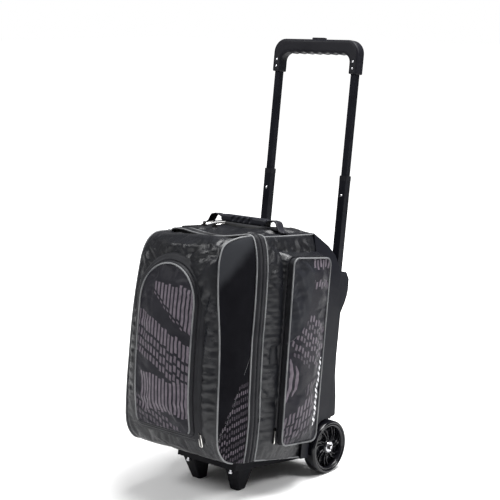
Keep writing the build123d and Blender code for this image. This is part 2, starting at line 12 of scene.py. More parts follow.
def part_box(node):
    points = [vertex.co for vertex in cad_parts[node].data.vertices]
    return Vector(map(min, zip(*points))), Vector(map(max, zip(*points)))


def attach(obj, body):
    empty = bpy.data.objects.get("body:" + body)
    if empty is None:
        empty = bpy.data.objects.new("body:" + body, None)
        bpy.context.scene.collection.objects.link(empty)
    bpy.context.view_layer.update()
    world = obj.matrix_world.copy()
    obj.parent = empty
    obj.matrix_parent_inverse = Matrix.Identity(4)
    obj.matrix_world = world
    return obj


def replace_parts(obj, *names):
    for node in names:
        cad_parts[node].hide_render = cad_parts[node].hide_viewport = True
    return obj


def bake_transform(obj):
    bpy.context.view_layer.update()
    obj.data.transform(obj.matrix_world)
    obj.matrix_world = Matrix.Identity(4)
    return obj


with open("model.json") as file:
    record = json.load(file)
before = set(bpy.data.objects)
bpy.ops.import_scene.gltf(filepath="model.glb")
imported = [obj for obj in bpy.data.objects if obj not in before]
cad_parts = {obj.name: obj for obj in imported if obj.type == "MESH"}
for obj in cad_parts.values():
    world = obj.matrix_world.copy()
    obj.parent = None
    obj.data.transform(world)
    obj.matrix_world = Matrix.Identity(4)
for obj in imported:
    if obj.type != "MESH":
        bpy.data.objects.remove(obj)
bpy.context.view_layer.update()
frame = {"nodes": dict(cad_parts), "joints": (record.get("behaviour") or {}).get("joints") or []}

# ---- Camera, floor and studio light ------------------------------------------
# The bag stands on a white studio sweep.  One soft light hangs in front and to
# its left, a smaller one behind and to its right, and the widest one overhead.
scene = bpy.context.scene
camera = bpy.data.objects.new("camera", bpy.data.cameras.new("camera"))
camera.location = (1.9324, -2.2509, 1.0983)
camera.data.lens = 93.45
looking = Vector((0.00285, 0.00976, 0.53776)) - camera.location
camera.rotation_euler = looking.to_track_quat("-Z", "Y").to_euler()
scene.collection.objects.link(camera)
scene.camera = camera
scene.view_settings.view_transform = "Standard"


def new_finish(name):
    """A finish with its shader: the finish, a maker of nodes, a joiner and the shader."""
    finish = bpy.data.materials.new(name)
    finish.use_nodes = True
    tree = finish.node_tree
    return finish, tree.nodes.new, tree.links.new, tree.nodes["Principled BSDF"]


floor_finish, node, link, shader = new_finish("studio floor")
mottle = node("ShaderNodeTexNoise")
mottle.inputs["Scale"].default_value = 3.0
tone = node("ShaderNodeMapRange")
tone.inputs["To Min"].default_value = 0.93
tone.inputs["To Max"].default_value = 0.96
link(mottle.outputs["Fac"], tone.inputs["Value"])
link(tone.outputs["Result"], shader.inputs["Base Color"])
shader.inputs["Roughness"].default_value = 0.9
shader.inputs["Emission Color"].default_value = (1, 1, 1, 1)
away = node("ShaderNodeVectorMath")
away.operation = "LENGTH"
link(node("ShaderNodeTexCoord").outputs["Object"], away.inputs[0])
far_glow = node("ShaderNodeMapRange")
far_glow.interpolation_type = "SMOOTHSTEP"
far_glow.inputs["From Min"].default_value = 0.35
far_glow.inputs["From Max"].default_value = 2.6
far_glow.inputs["To Max"].default_value = 0.9
seen = node("ShaderNodeMath")
seen.operation = "MULTIPLY"
link(away.outputs["Value"], far_glow.inputs["Value"])
link(far_glow.outputs["Result"], seen.inputs[0])
link(node("ShaderNodeLightPath").outputs["Is Camera Ray"], seen.inputs[1])
link(seen.outputs[0], shader.inputs["Emission Strength"])
bpy.ops.mesh.primitive_plane_add(size=60)
floor = bpy.context.object
floor.name = "studio_floor"
floor.data.materials.append(floor_finish)

world = bpy.data.worlds.new("studio")
scene.world = world
world.use_nodes = True
sky, sky_link = world.node_tree.nodes, world.node_tree.links.new
ray = sky.new("ShaderNodeLightPath")
share = sky.new("ShaderNodeMapRange")
share.inputs["To Min"].default_value = 0.2
share.inputs["To Max"].default_value = 1.0
sky_link(ray.outputs["Is Camera Ray"], share.inputs["Value"])
sky_link(share.outputs["Result"], sky["Background"].inputs["Strength"])
sky["Background"].inputs["Color"].default_value = (1, 1, 1, 1)

for name, place, size, power in (
    ("front_softbox", (-1.5, -2.4, 2.7), 1.4, 85),
    ("side_softbox", (2.6, 0.9, 2.4), 0.9, 55),
    ("top_softbox", (0.5, 0.5, 3.1), 1.8, 190),
):
    lamp = bpy.data.lights.new(name, "AREA")
    lamp.energy, lamp.size = power, size
    light = bpy.data.objects.new(name, lamp)
    light.location = place
    light.rotation_euler = (Vector((0, 0, 0.4)) - light.location).to_track_quat("-Z",
                                                                                "Y").to_euler()
    scene.collection.objects.link(light)

# ---- Back plate, tube covers, tray and feet ----------------------------------
# One vacuum-formed plate makes the back, with a moulded cover riveted over each
# tube and a ribbed tray with two screwed feet below.  All of it is black plastic.
# The bag leans back on its wheels, so its own upright millimetres are stood up.
handle_axis = next(j for j in frame["joints"] if j["name"] == "handle_lower_slide")["axis"]
lean = math.atan2(handle_axis[1], handle_axis[2])
axle = sum(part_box("axle"), Vector()) / 2
stand = (Matrix.Translation((0, axle.y, axle.z)) @ Matrix.Rotation(-lean, 4, "X")
         @ Matrix.Scale(0.001, 4))


def new_group(name, inputs, outputs):
    """An empty shader group: its tree, its way in, its way out and a joiner."""
    tree = bpy.data.node_groups.new(name, "ShaderNodeTree")
    for label, kind, value in inputs:
        socket = tree.interface.new_socket(name=label, in_out="INPUT", socket_type=kind)
        if value is not None:
            socket.default_value = value
    for label, kind in outputs:
        tree.interface.new_socket(name=label, in_out="OUTPUT", socket_type=kind)
    way_in, way_out = tree.nodes.new("NodeGroupInput"), tree.nodes.new("NodeGroupOutput")
    return tree, way_in.outputs, way_out.inputs, tree.links.new


grain, given, result, link = new_group(
    "moulded grain",
    [("Place", "NodeSocketVector", None), ("Scale", "NodeSocketFloat", 700.0),
     ("Tone Low", "NodeSocketFloat", 0.7), ("Tone High", "NodeSocketFloat", 1.3)],
    [("Height", "NodeSocketFloat"), ("Tone", "NodeSocketFloat")])
pores = grain.nodes.new("ShaderNodeTexNoise")
pores.inputs["Detail"].default_value = 3
link(given["Place"], pores.inputs["Vector"])
link(given["Scale"], pores.inputs["Scale"])
link(pores.outputs["Fac"], result["Height"])
clouds = grain.nodes.new("ShaderNodeTexNoise")
clouds.inputs["Scale"].default_value = 9
clouds.inputs["Detail"].default_value = 5
link(given["Place"], clouds.inputs["Vector"])
spread = grain.nodes.new("ShaderNodeMapRange")
spread.inputs["From Min"].default_value = 0.3
spread.inputs["From Max"].default_value = 0.7
link(clouds.outputs["Fac"], spread.inputs["Value"])
link(given["Tone Low"], spread.inputs["To Min"])
link(given["Tone High"], spread.inputs["To Max"])
link(spread.outputs["Result"], result["Tone"])


def moulded_finish(name, colour, rough, scale=700.0, depth=0.00006, metal=0.0, coat=0.0):
    """Plastic or painted metal with a fine grain and an uneven gloss."""
    finish, node, link, shader = new_finish(name)
    place = node("ShaderNodeTexCoord")
    skin = node("ShaderNodeGroup")
    skin.node_tree = grain
    skin.inputs["Scale"].default_value = scale
    link(place.outputs["Object"], skin.inputs["Place"])
    shade = node("ShaderNodeMix")
    shade.data_type = "RGBA"
    shade.inputs[6].default_value = (*[c * 0.75 for c in colour], 1)
    shade.inputs[7].default_value = (*[c * 1.3 for c in colour], 1)
    link(skin.outputs["Tone"], shade.inputs[0])
    link(shade.outputs[2], shader.inputs["Base Color"])
    gloss = node("ShaderNodeMath")
    gloss.operation = "MULTIPLY"
    gloss.inputs[1].default_value = rough
    link(skin.outputs["Tone"], gloss.inputs[0])
    link(gloss.outputs[0], shader.inputs["Roughness"])
    bump = node("ShaderNodeBump")
    bump.inputs["Strength"].default_value = 0.5
    bump.inputs["Distance"].default_value = depth
    link(skin.outputs["Height"], bump.inputs["Height"])
    link(bump.outputs["Normal"], shader.inputs["Normal"])
    shader.inputs["Metallic"].default_value = metal
    shader.inputs["Coat Weight"].default_value = coat
    shader.inputs["Specular IOR Level"].default_value = 0.12
    return finish


def dress(finish, *names):
    """Give CAD nodes a finish."""
    for name in names:
        materials = frame["nodes"][name].data.materials
        materials.clear()
        materials.append(finish)


plate_plastic = moulded_finish("black moulded plastic", (0.0035, 0.0038, 0.0062), 0.5)
foot_plastic = moulded_finish("black foot plastic", (0.003, 0.003, 0.0045), 0.55, 500.0)
zinc = moulded_finish("zinc plated steel", (0.45, 0.45, 0.47), 0.3, 1500.0, 0.00002, 1.0)
dress(plate_plastic, "back_plate", "tube_cover_left", "tube_cover_right", "lower_crossbar")
dress(foot_plastic, "base_tray", "front_foot_left", "front_foot_right")
dress(zinc, "axle", "foot_screws", "plate_rivets", "button_spring",
      "wheel_bearings_left", "wheel_bearings_right")

# ---- Wheels ------------------------------------------------------------------
# Each wheel has a glossy polyurethane tyre on a nylon hub with seven curved
# double spokes, and a polished ring round the axle nut at its centre.
wheel_out_x = 162.0
wheel_wide = 34.0


def make_mesh(name, points, faces, finishes, uv=None, smooth=True, place=stand):
    """A mesh object from points in the bag's own millimetres."""
    points = np.asarray(points, float)
    turn = np.array(place)
    mesh = bpy.data.meshes.new(name)
    mesh.from_pydata((points @ turn[:3, :3].T + turn[:3, 3]).tolist(), [], faces)
    for finish in finishes:
        mesh.materials.append(finish)
    if uv is not None:
        layer = mesh.uv_layers.new(name="flat")
        corners = np.zeros(len(mesh.loops), int)
        mesh.loops.foreach_get("vertex_index", corners)
        layer.data.foreach_set("uv", np.asarray(uv, float)[corners].ravel())
    mesh.polygons.foreach_set("use_smooth", [smooth] * len(mesh.polygons))
    piece = bpy.data.objects.new(name, mesh)
    scene.collection.objects.link(piece)
    return piece


def face_out(piece):
    """Merge doubles and turn every face outwards."""
    mesh = bmesh.new()
    mesh.from_mesh(piece.data)
    bmesh.ops.remove_doubles(mesh, verts=mesh.verts, dist=1e-6)
    bmesh.ops.recalc_face_normals(mesh, faces=mesh.faces)
    mesh.to_mesh(piece.data)
    mesh.free()
    return piece


def lathe(profile, turns=96):
    """Points and faces of a closed (x, radius) profile turned round the axle."""
    angles = np.arange(turns) * 2 * math.pi / turns
    rim = np.array(profile, float)
    points = np.stack([
        np.repeat(rim[None, :, 0], turns, 0),
        np.cos(angles)[:, None] * rim[:, 1],
        np.sin(angles)[:, None] * rim[:, 1],
    ], 2).reshape(-1, 3)
    n = len(rim)
    faces = [(i * n + j, i * n + (j + 1) % n, (i + 1) % turns * n + (j + 1) % n,
              (i + 1) % turns * n + j)
             for i in range(turns) for j in range(n)]
    return points, faces


def joined(parts):
    """Several sets of points and faces as one."""
    points, faces, start = [], [], 0
    for some, sides in parts:
        points.append(np.asarray(some, float))
        faces += [tuple(start + i for i in side) for side in sides]
        start += len(some)
    return np.concatenate(points), faces


def baked(piece, name, finishes=None):
    """The piece with its modifiers applied, as a new plain mesh in its place."""
    shown = piece.evaluated_get(bpy.context.evaluated_depsgraph_get())
    mesh = bpy.data.meshes.new_from_object(shown)
    piece.name = name + "_raw"
    mesh.name = name
    if finishes:
        mesh.materials.clear()
        for finish in finishes:
            mesh.materials.append(finish)
    fresh = bpy.data.objects.new(name, mesh)
    scene.collection.objects.link(fresh)
    bpy.data.objects.remove(piece)
    return fresh


ring_of = bpy.data.node_groups.new("ring of blades", "GeometryNodeTree")
for label, kind in (("Geometry", "NodeSocketGeometry"), ("Count", "NodeSocketInt"),
                    ("Finish", "NodeSocketMaterial")):
    ring_of.interface.new_socket(name=label, in_out="INPUT", socket_type=kind)
ring_of.interface.new_socket(name="Geometry", in_out="OUTPUT", socket_type="NodeSocketGeometry")
ring_node, ring_link = ring_of.nodes.new, ring_of.links.new
ring_in, ring_out = ring_node("NodeGroupInput"), ring_node("NodeGroupOutput")
places = ring_node("GeometryNodePoints")
copies = ring_node("GeometryNodeInstanceOnPoints")
number = ring_node("GeometryNodeInputIndex")
step = ring_node("ShaderNodeMath")
step.operation = "DIVIDE"
step.inputs[0].default_value = 2 * math.pi
angle = ring_node("ShaderNodeMath")
angle.operation = "MULTIPLY"
about_axle = ring_node("ShaderNodeCombineXYZ")
real = ring_node("GeometryNodeRealizeInstances")
painted = ring_node("GeometryNodeSetMaterial")
ring_link(ring_in.outputs["Count"], places.inputs["Count"])
ring_link(ring_in.outputs["Count"], step.inputs[1])
ring_link(number.outputs[0], angle.inputs[0])
ring_link(step.outputs[0], angle.inputs[1])
ring_link(angle.outputs[0], about_axle.inputs["X"])
ring_link(places.outputs[0], copies.inputs["Points"])
ring_link(ring_in.outputs["Geometry"], copies.inputs["Instance"])
ring_link(about_axle.outputs[0], copies.inputs["Rotation"])
ring_link(copies.outputs[0], real.inputs[0])
ring_link(real.outputs[0], painted.inputs["Geometry"])
ring_link(ring_in.outputs["Finish"], painted.inputs["Material"])
ring_link(painted.outputs[0], ring_out.inputs[0])


def set_input(modifier, label, value):
    """Set a geometry modifier's input by its socket's identifier."""
    sockets = modifier.node_group.interface.items_tree
    found = next(s for s in sockets if s.name == label and s.in_out == "INPUT")
    modifier[found.identifier] = value


def curved_blade(start, bend, wide, x_low, x_high):
    """One rib of a spoke: it swings sideways as it goes out, and its edges are rounded."""
    points, faces = [], []
    section = [(-1, 0.0), (-1, 0.8), (-0.55, 1.0), (0.55, 1.0), (1, 0.8), (1, 0.0)]
    steps = 12
    for i in range(steps + 1):
        part = i / steps
        radius = 15 + part * 35
        swing = math.radians(start + bend * part * part)
        for side, high in section:
            across = side * wide * (1 - 0.25 * part)
            x = x_low + (x_high - x_low) * high - 2.5 * part * part * high
            y = radius * math.cos(swing) - across * math.sin(swing)
            z = radius * math.sin(swing) + across * math.cos(swing)
            points.append((x, y, z))
    n = len(section)
    for i in range(steps):
        for j in range(n):
            k = (j + 1) % n
            faces.append((i * n + j, (i + 1) * n + j, (i + 1) * n + k, i * n + k))
    faces.append(tuple(range(n)))
    faces.append(tuple(range(steps * n, steps * n + n))[::-1])
    return points, faces


tyre_rubber = moulded_finish("glossy tyre", (0.003, 0.003, 0.0045), 0.2, 300.0, 0.00002, 0.0, 0.35)
hub_nylon = moulded_finish("hub nylon", (0.004, 0.004, 0.0055), 0.27, 900.0, 0.00002, 0.0, 0.3)
hub_chrome = moulded_finish("polished ring", (0.42, 0.42, 0.44), 0.2, 900.0, 0.00001, 1.0)

out, inn = wheel_out_x, wheel_out_x - wheel_wide
tyre_profile = [
    (inn + 3, 55.5), (inn + 0.8, 57.2), (inn + 0.3, 59.4), (inn + 1.6, 61.6), (inn + 5, 63.1),
    (inn + 10, 63.5), (out - 10, 63.5), (out - 5.5, 63.1), (out - 2.2, 61.9), (out - 0.6, 59.9),
    (out - 0.6, 57.8), (out - 1.6, 56.6), (out - 3.4, 55.5),
]
rim_profile = [
    (inn + 4, 55.6), (inn + 3, 53.6), (inn + 4, 51), (inn + 9, 49.4), (out - 13, 48.6),
    (out - 6, 49.2), (out - 3.4, 50.6), (out - 2.4, 52.6), (out - 2.8, 54.6), (out - 4.4, 55.6),
]
dish_profile = [
    (out - 19, 10.8), (out - 15, 10.8), (out - 15, 49.5), (out - 19, 49.5),
]
boss_profile = [
    (inn + 5, 10.8), (inn + 5, 16.2), (inn + 12, 17.0), (out - 8, 17.0), (out - 5.2, 15.4),
    (out - 4.6, 12.2), (out - 5.5, 10.8),
]
ring_profile = [
    (out - 5.4, 10.4), (out - 4.0, 10.2), (out - 2.9, 10.7), (out - 2.6, 11.6), (out - 3.0, 12.5),
    (out - 4.4, 13.2), (out - 5.6, 12.6),
]
for name, side in (("left", -1), ("right", 1)):
    turned = stand @ Matrix.Diagonal((side, 1, 1, 1))
    tyre = face_out(make_mesh("tyre_" + name, *lathe(tyre_profile, 128), [tyre_rubber],
                              place=turned))
    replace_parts(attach(tyre, "wheel_" + name), "wheel_tyre_" + name)

    ribs = joined([curved_blade(start, 24, 1.3, out - 17, out - 7) for start in (-8, 8)]
                  + [curved_blade(start, 24, 1.3, out - 17, inn + 7) for start in (-8, 8)]
                  + [curved_blade(0, 24, 4.6, out - 17, out - 11.5)])
    blades = make_mesh("spokes", *ribs, [hub_nylon], place=Matrix())
    ring = blades.modifiers.new("ring", "NODES")
    ring.node_group = ring_of
    set_input(ring, "Count", 7)
    set_input(ring, "Finish", hub_nylon)
    blades = baked(blades, "wheel_spokes_" + name, [hub_nylon])
    blades.data.transform(turned)
    face_out(blades)
    solids = joined([lathe(rim_profile), lathe(dish_profile), lathe(boss_profile, 64)])
    hub = face_out(make_mesh("wheel_hub_body_" + name, *solids, [hub_nylon], place=turned))
    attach(blades, "wheel_" + name)
    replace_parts(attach(hub, "wheel_" + name), "wheel_hub_" + name)
    ring = face_out(make_mesh("wheel_ring_" + name, *lathe(ring_profile, 64), [hub_chrome],
                              place=turned))
    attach(ring, "wheel_" + name)

# ---- Telescopic handle -------------------------------------------------------
# Two pairs of square anodised tubes slide in the fixed ones.  A moulded bow
# joins their tops, with finger ripples under its bar and a release button on it.
tube_black = moulded_finish("black anodised tube", (0.005, 0.0053, 0.008), 0.36, 220.0, 0.00001,
                            0.5)
grip_plastic = moulded_finish("black grip plastic", (0.0045, 0.0045, 0.0065), 0.4, 800.0)
dress(tube_black, "outer_tube_left", "outer_tube_right", "middle_tubes", "upper_tubes")
dress(grip_plastic, "middle_collars", "release_button", "release_linkage")
tube_x, tube_y = 115.4, 19.0
grip_under_z = 931.0
ripple_pitch = 24.0
ripple_depth = 1.7


def own_points(piece):
    """A piece's points in the bag's own millimetres."""
    points = np.zeros(len(piece.data.vertices) * 3)
    piece.data.vertices.foreach_get("co", points)
    back = np.array(stand.inverted())
    return points.reshape(-1, 3) @ back[:3, :3].T + back[:3, 3]


def set_points(piece, points):
    """Put a piece's points at these places in the bag's own millimetres."""
    turn = np.array(stand)
    piece.data.vertices.foreach_set("co", (points @ turn[:3, :3].T + turn[:3, 3]).ravel())
    piece.data.update()


def remeshed(node, name, voxel, finish, smooth=4):
    """An even, softened copy of a CAD node."""
    piece = bpy.data.objects.new(name, frame["nodes"][node].data.copy())
    scene.collection.objects.link(piece)
    face_out(piece)
    even = piece.modifiers.new("even", "REMESH")
    even.mode, even.voxel_size, even.use_smooth_shade = "VOXEL", voxel, True
    soften = piece.modifiers.new("soften", "SMOOTH")
    soften.factor, soften.iterations = 0.5, smooth
    return baked(piece, name, [finish])


grip = remeshed("grip", "grip_bow", 0.0017, grip_plastic)
points = own_points(grip)
under = np.clip((grip_under_z + 9 - points[:, 2]) / 10, 0, 1) * (points[:, 2] > grip_under_z - 9)
middle = np.clip((96 - np.abs(points[:, 0])) / 12, 0, 1)
points[:, 2] -= ripple_depth * under * middle * np.cos(points[:, 0] * 2 * math.pi / ripple_pitch)
# The slot in the top keeps clear of the release button, which sinks into it.
button_half, slot_room, slot_floor_z = np.array((19.0, 6.5)), 1.1, 957.0
aside = np.abs(points[:, :2] - (0, tube_y))
past = aside - button_half
nearest = past.argmax(1)
rows = np.flatnonzero((past.max(1) < slot_room) & (past.max(1) > -2) & (points[:,
                                                                               2] > slot_floor_z + 1.5))
axis = nearest[rows]
points[rows, axis] += (np.sign(points[rows, axis] - np.array((0, tube_y))[axis])
                       * (button_half[axis] + slot_room - aside[rows, axis]))
floor_rows = (past.max(1) < 1) & (np.abs(points[:, 2] - slot_floor_z) < 1.5)
points[floor_rows, 2] = slot_floor_z - 0.9
set_points(grip, points)
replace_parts(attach(grip, "upper_stage"), "grip")

stud_profile = [(-1, 0.01), (-1, 2.6), (0.3, 2.6), (1.0, 1.9), (1.3, 0.01)]
forward = Matrix.Rotation(math.radians(-90), 4, "Z")
backward = Matrix.Rotation(math.radians(90), 4, "Z")
studs = []
for x in (-tube_x, tube_x):
    for z in (898.0, 914.0):
        for y, turn in ((tube_y - 14.6, forward), (tube_y + 14.6, backward)):
            some, sides = lathe(stud_profile, 16)
            spot = np.array(Matrix.Translation((x, y, z)) @ turn)
            studs.append((some @ spot[:3, :3].T + spot[:3, 3], sides))
studs = face_out(make_mesh("grip_studs", *joined(studs), [zinc]))
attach(studs, "upper_stage")
pins = []
for x in (-tube_x, tube_x):
    some, sides = lathe([(a, b * 1.3) for a, b in stud_profile], 20)
    spot = np.array(Matrix.Translation((x, tube_y - 9.4, 598)) @ forward)
    pins.append((some @ spot[:3, :3].T + spot[:3, 3], sides))
pins = face_out(make_mesh("tube_spring_pins", *joined(pins), [hub_chrome]))
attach(pins, "middle_stage")

# ---- Fabric of the front shell -----------------------------------------------
# One sheet of black satin nylon wraps over the roof, down the front and under,
# with foam and a lining behind it.  It is sewn to a matte side panel at each edge.
# A sheet is laid through rows of points, creased by a cloth run and by listed folds.
satin_dark, satin_light = (0.0025, 0.0028, 0.0042), (0.0085, 0.0090, 0.0115)

weave, given, result, link = new_group(
    "woven nylon",
    [("Flat", "NodeSocketVector", None), ("Threads", "NodeSocketFloat", 1100.0),
     ("Blotch Scale", "NodeSocketFloat", 14.0)],
    [("Height", "NodeSocketFloat"), ("Tone", "NodeSocketFloat")])
scaled = weave.nodes.new("ShaderNodeVectorMath")
scaled.operation = "SCALE"
link(given["Flat"], scaled.inputs[0])
scaled_by = weave.nodes.new("ShaderNodeMath")
scaled_by.operation = "MULTIPLY"
scaled_by.inputs[1].default_value = math.pi
link(given["Threads"], scaled_by.inputs[0])
link(scaled_by.outputs[0], scaled.inputs["Scale"])
apart = weave.nodes.new("ShaderNodeSeparateXYZ")
link(scaled.outputs[0], apart.inputs[0])
crossing = weave.nodes.new("ShaderNodeMath")
crossing.operation = "MULTIPLY"
for i, axis in enumerate("XY"):
    thread = weave.nodes.new("ShaderNodeMath")
    thread.operation = "SINE"
    link(apart.outputs[axis], thread.inputs[0])
    link(thread.outputs[0], crossing.inputs[i])
link(crossing.outputs[0], result["Height"])
blotch = weave.nodes.new("ShaderNodeTexNoise")
blotch.inputs["Detail"].default_value = 6
blotch.inputs["Roughness"].default_value = 0.62
link(given["Flat"], blotch.inputs["Vector"])
link(given["Blotch Scale"], blotch.inputs["Scale"])
firm = weave.nodes.new("ShaderNodeMapRange")
firm.inputs["From Min"].default_value = 0.32
firm.inputs["From Max"].default_value = 0.68
link(blotch.outputs["Fac"], firm.inputs["Value"])
link(firm.outputs["Result"], result["Tone"])


def woven_finish(name, dark, light, rough, sheen=0.0, threads=1100.0, depth=0.0001, source="UV",
                 paint=None, blotch_scale=14.0, shine=0.12):
    """Cloth: a plain weave with an uneven tone.  paint may add a print over it."""
    finish, node, link, shader = new_finish(name)
    place = node("ShaderNodeTexCoord")
    cloth = node("ShaderNodeGroup")
    cloth.node_tree = weave
    cloth.inputs["Threads"].default_value = threads
    cloth.inputs["Blotch Scale"].default_value = blotch_scale
    link(place.outputs[source], cloth.inputs["Flat"])
    shade = node("ShaderNodeMix")
    shade.data_type = "RGBA"
    shade.inputs[6].default_value = (*dark, 1)
    shade.inputs[7].default_value = (*light, 1)
    link(cloth.outputs["Tone"], shade.inputs[0])
    colour = shade.outputs[2]
    if paint:
        colour = paint(node, link, place.outputs[source], colour)
    link(colour, shader.inputs["Base Color"])
    gloss = node("ShaderNodeMapRange")
    gloss.inputs["To Min"].default_value = rough + 0.06
    gloss.inputs["To Max"].default_value = rough - 0.06
    link(cloth.outputs["Tone"], gloss.inputs["Value"])
    link(gloss.outputs["Result"], shader.inputs["Roughness"])
    bump = node("ShaderNodeBump")
    bump.inputs["Strength"].default_value = 0.6
    bump.inputs["Distance"].default_value = depth
    link(cloth.outputs["Height"], bump.inputs["Height"])
    link(bump.outputs["Normal"], shader.inputs["Normal"])
    shader.inputs["Sheen Weight"].default_value = sheen
    shader.inputs["Sheen Roughness"].default_value = 0.4
    shader.inputs["Specular IOR Level"].default_value = shine
    return finish


satin = woven_finish("black satin nylon", satin_dark, satin_light, 0.31, 0.02, shine=0.3)
lining = woven_finish("grey lining", (0.02, 0.02, 0.023), (0.04, 0.04, 0.044), 0.7, 0.1)


def through(points, count, axis=0):
    """Points spread along a smooth curve through the given ones."""
    p = np.moveaxis(np.asarray(points, float), axis, 0)
    t = np.linspace(0, len(p) - 1, count)
    i = np.clip(t.astype(int), 0, len(p) - 2)
    f = (t - i).reshape(-1, *[1] * (p.ndim - 1))
    a, b, c, d = p[np.maximum(i - 1, 0)], p[i], p[i + 1], p[np.minimum(i + 2, len(p) - 1)]
    made = b + 0.5 * f * (c - a + f * (2 * a - 5 * b + 4 * c - d + f * (3 * (b - c) + d - a)))
    return np.moveaxis(made, 0, axis)


def evenly(points, step, axis=0):
    """The same surface or line with its points a step apart along one way, and their lengths."""
    p = np.moveaxis(np.asarray(points, float), axis, 0)
    lengths = np.linalg.norm(np.diff(p, axis=0), axis=-1)
    while lengths.ndim > 1:
        lengths = lengths.mean(-1)
    along = np.concatenate([[0], np.cumsum(lengths)])
    count = max(2, round(along[-1] / step) + 1)
    new = np.linspace(0, along[-1], count)
    t = np.interp(new, along, np.arange(len(along)))
    i = np.clip(t.astype(int), 0, len(p) - 2)
    f = (t - i).reshape(-1, *[1] * (p.ndim - 1))
    return np.moveaxis(p[i] * (1 - f) + p[i + 1] * f, 0, axis), new


def laid(controls, step):
    """A sheet's grid of points through rows of control points, and its flat places in metres."""
    rows, columns = len(controls), len(controls[0])
    fine = through(through(controls, 8 * rows), 8 * columns, 1)
    fine, down = evenly(fine, step)
    fine, over = evenly(fine, step, 1)
    flat = np.stack(np.meshgrid(over, down), 2) / 1000
    return fine, flat


def grid_faces(rows, columns, keep=None):
    """The four-sided faces of a grid, all of them or only those to keep."""
    return [(i * columns + j, i * columns + j + 1, (i + 1) * columns + j + 1, (i + 1) * columns + j)
            for i in range(rows - 1) for j in range(columns - 1) if keep is None or keep[i, j]]


def outward(grid, centre=(0, -200, 250)):
    """Unit normals of a grid of points, turned away from the middle of the bag."""
    a = np.gradient(grid, axis=0)
    b = np.gradient(grid, axis=1)
    n = np.cross(a, b)
    n /= np.maximum(np.linalg.norm(n, axis=2, keepdims=True), 1e-9)
    sign = np.sign(((grid - np.array(centre)) * n).sum(2).mean())
    return n * sign


def sheet_piece(name, grid, flat, finishes, thick=1.6, keep=None, centre=(0, -200, 250)):
    """A sheet of fabric from a grid, with its lining on the inside."""
    rows, columns = grid.shape[:2]
    faces = grid_faces(rows, columns, keep)
    n = np.cross(grid[rows // 2, columns // 2 + 1] - grid[rows // 2, columns // 2],
                 grid[rows // 2 + 1, columns // 2] - grid[rows // 2, columns // 2])
    if (n * outward(grid, centre)[rows // 2, columns // 2]).sum() < 0:
        faces = [face[::-1] for face in faces]
    piece = make_mesh(name, grid.reshape(-1, 3), faces, finishes, flat.reshape(-1, 2))
    loose = bmesh.new()
    loose.from_mesh(piece.data)
    bmesh.ops.delete(loose, geom=[v for v in loose.verts if not v.link_faces], context="VERTS")
    loose.to_mesh(piece.data)
    loose.free()
    wall = piece.modifiers.new("wall", "SOLIDIFY")
    wall.thickness, wall.offset, wall.material_offset = thick / 1000, -1, 1
    wall.material_offset_rim = 0
    return piece


def fold(grid, normals, start, end, height, width, round_end=0.25):
    """Raise or sink a crease from one place to another on a grid of points."""
    a, b = np.array(start, float), np.array(end, float)
    run = b - a
    t = ((grid - a) @ run) / (run @ run)
    near = a + np.clip(t, 0, 1)[..., None] * run
    d = np.linalg.norm(grid - near, axis=2)
    fade = np.clip(np.minimum(t, 1 - t) / round_end, 0, 1)
    fade = fade * fade * (3 - 2 * fade)
    return grid + normals * (height * fade * np.exp(-(d / width) ** 2))[..., None]


def settled(grid, faces, sewn, growth, frames=12, cap=7.0, bend=0.4):
    """Let a sheet that is cut a little too big crease between its sewn points."""
    piece = make_mesh("settling", grid.reshape(-1, 3), faces, [])
    sewn_group = piece.vertex_groups.new(name="sewn")
    sewn_group.add(np.flatnonzero(sewn.ravel()).tolist(), 1.0, "REPLACE")
    cloth = piece.modifiers.new("cloth", "CLOTH")
    rules = cloth.settings
    rules.quality, rules.mass = 5, 0.2
    rules.tension_stiffness = rules.compression_stiffness = 20
    rules.shear_stiffness, rules.bending_stiffness = 8, bend
    rules.vertex_group_mass = "sewn"
    rules.shrink_min = -growth
    rules.effector_weights.gravity = 0
    cloth.point_cache.frame_start, cloth.point_cache.frame_end = 1, frames
    for at in range(1, frames + 1):
        scene.frame_set(at)
    shown = piece.evaluated_get(bpy.context.evaluated_depsgraph_get())
    moved = np.zeros(len(piece.data.vertices) * 3)
    shown.data.vertices.foreach_get("co", moved)
    back = np.array(stand.inverted())
    moved = moved.reshape(-1, 3) @ back[:3, :3].T + back[:3, 3]
    bpy.data.objects.remove(piece)
    scene.frame_set(1)
    shift = moved.reshape(grid.shape) - grid
    far = np.linalg.norm(shift, axis=2, keepdims=True)
    return grid + shift * np.minimum(1, cap / np.maximum(far, 1e-6))


def edge_of(grid, depth=1):
    """Which points of a grid are on its border."""
    mask = np.zeros(grid.shape[:2], bool)
    mask[:depth] = mask[-depth:] = True
    mask[:, :depth] = mask[:, -depth:] = True
    return mask


zip_y = -293.0
band_section = through([
    (141, -4), (144.5, 60), (145, 200), (145, 330), (141.5, 420), (135.5, 462), (128, 486),
    (121, 497), (108, 500), (85, 496), (42, 489), (-3, 485), (-49, 487), (-85, 491), (-108, 491),
    (-120, 487), (-128, 476), (-135, 455), (-141.5, 420), (-145, 330), (-145, 200), (-144.5, 60),
    (-141, -4)], 400)


def band_shift(z):
    """How far the zip wanders back near the floor."""
    return np.interp(z, [-10, 30, 94, 139, 274], [14, 15, 14, 9, 0])


def roof_z(x):
    """Height of the roof along the zip."""
    top = band_section[(band_section[:, 1] > 480)]
    order = np.argsort(top[:, 0])
    return np.interp(x, top[order, 0], top[order, 1])


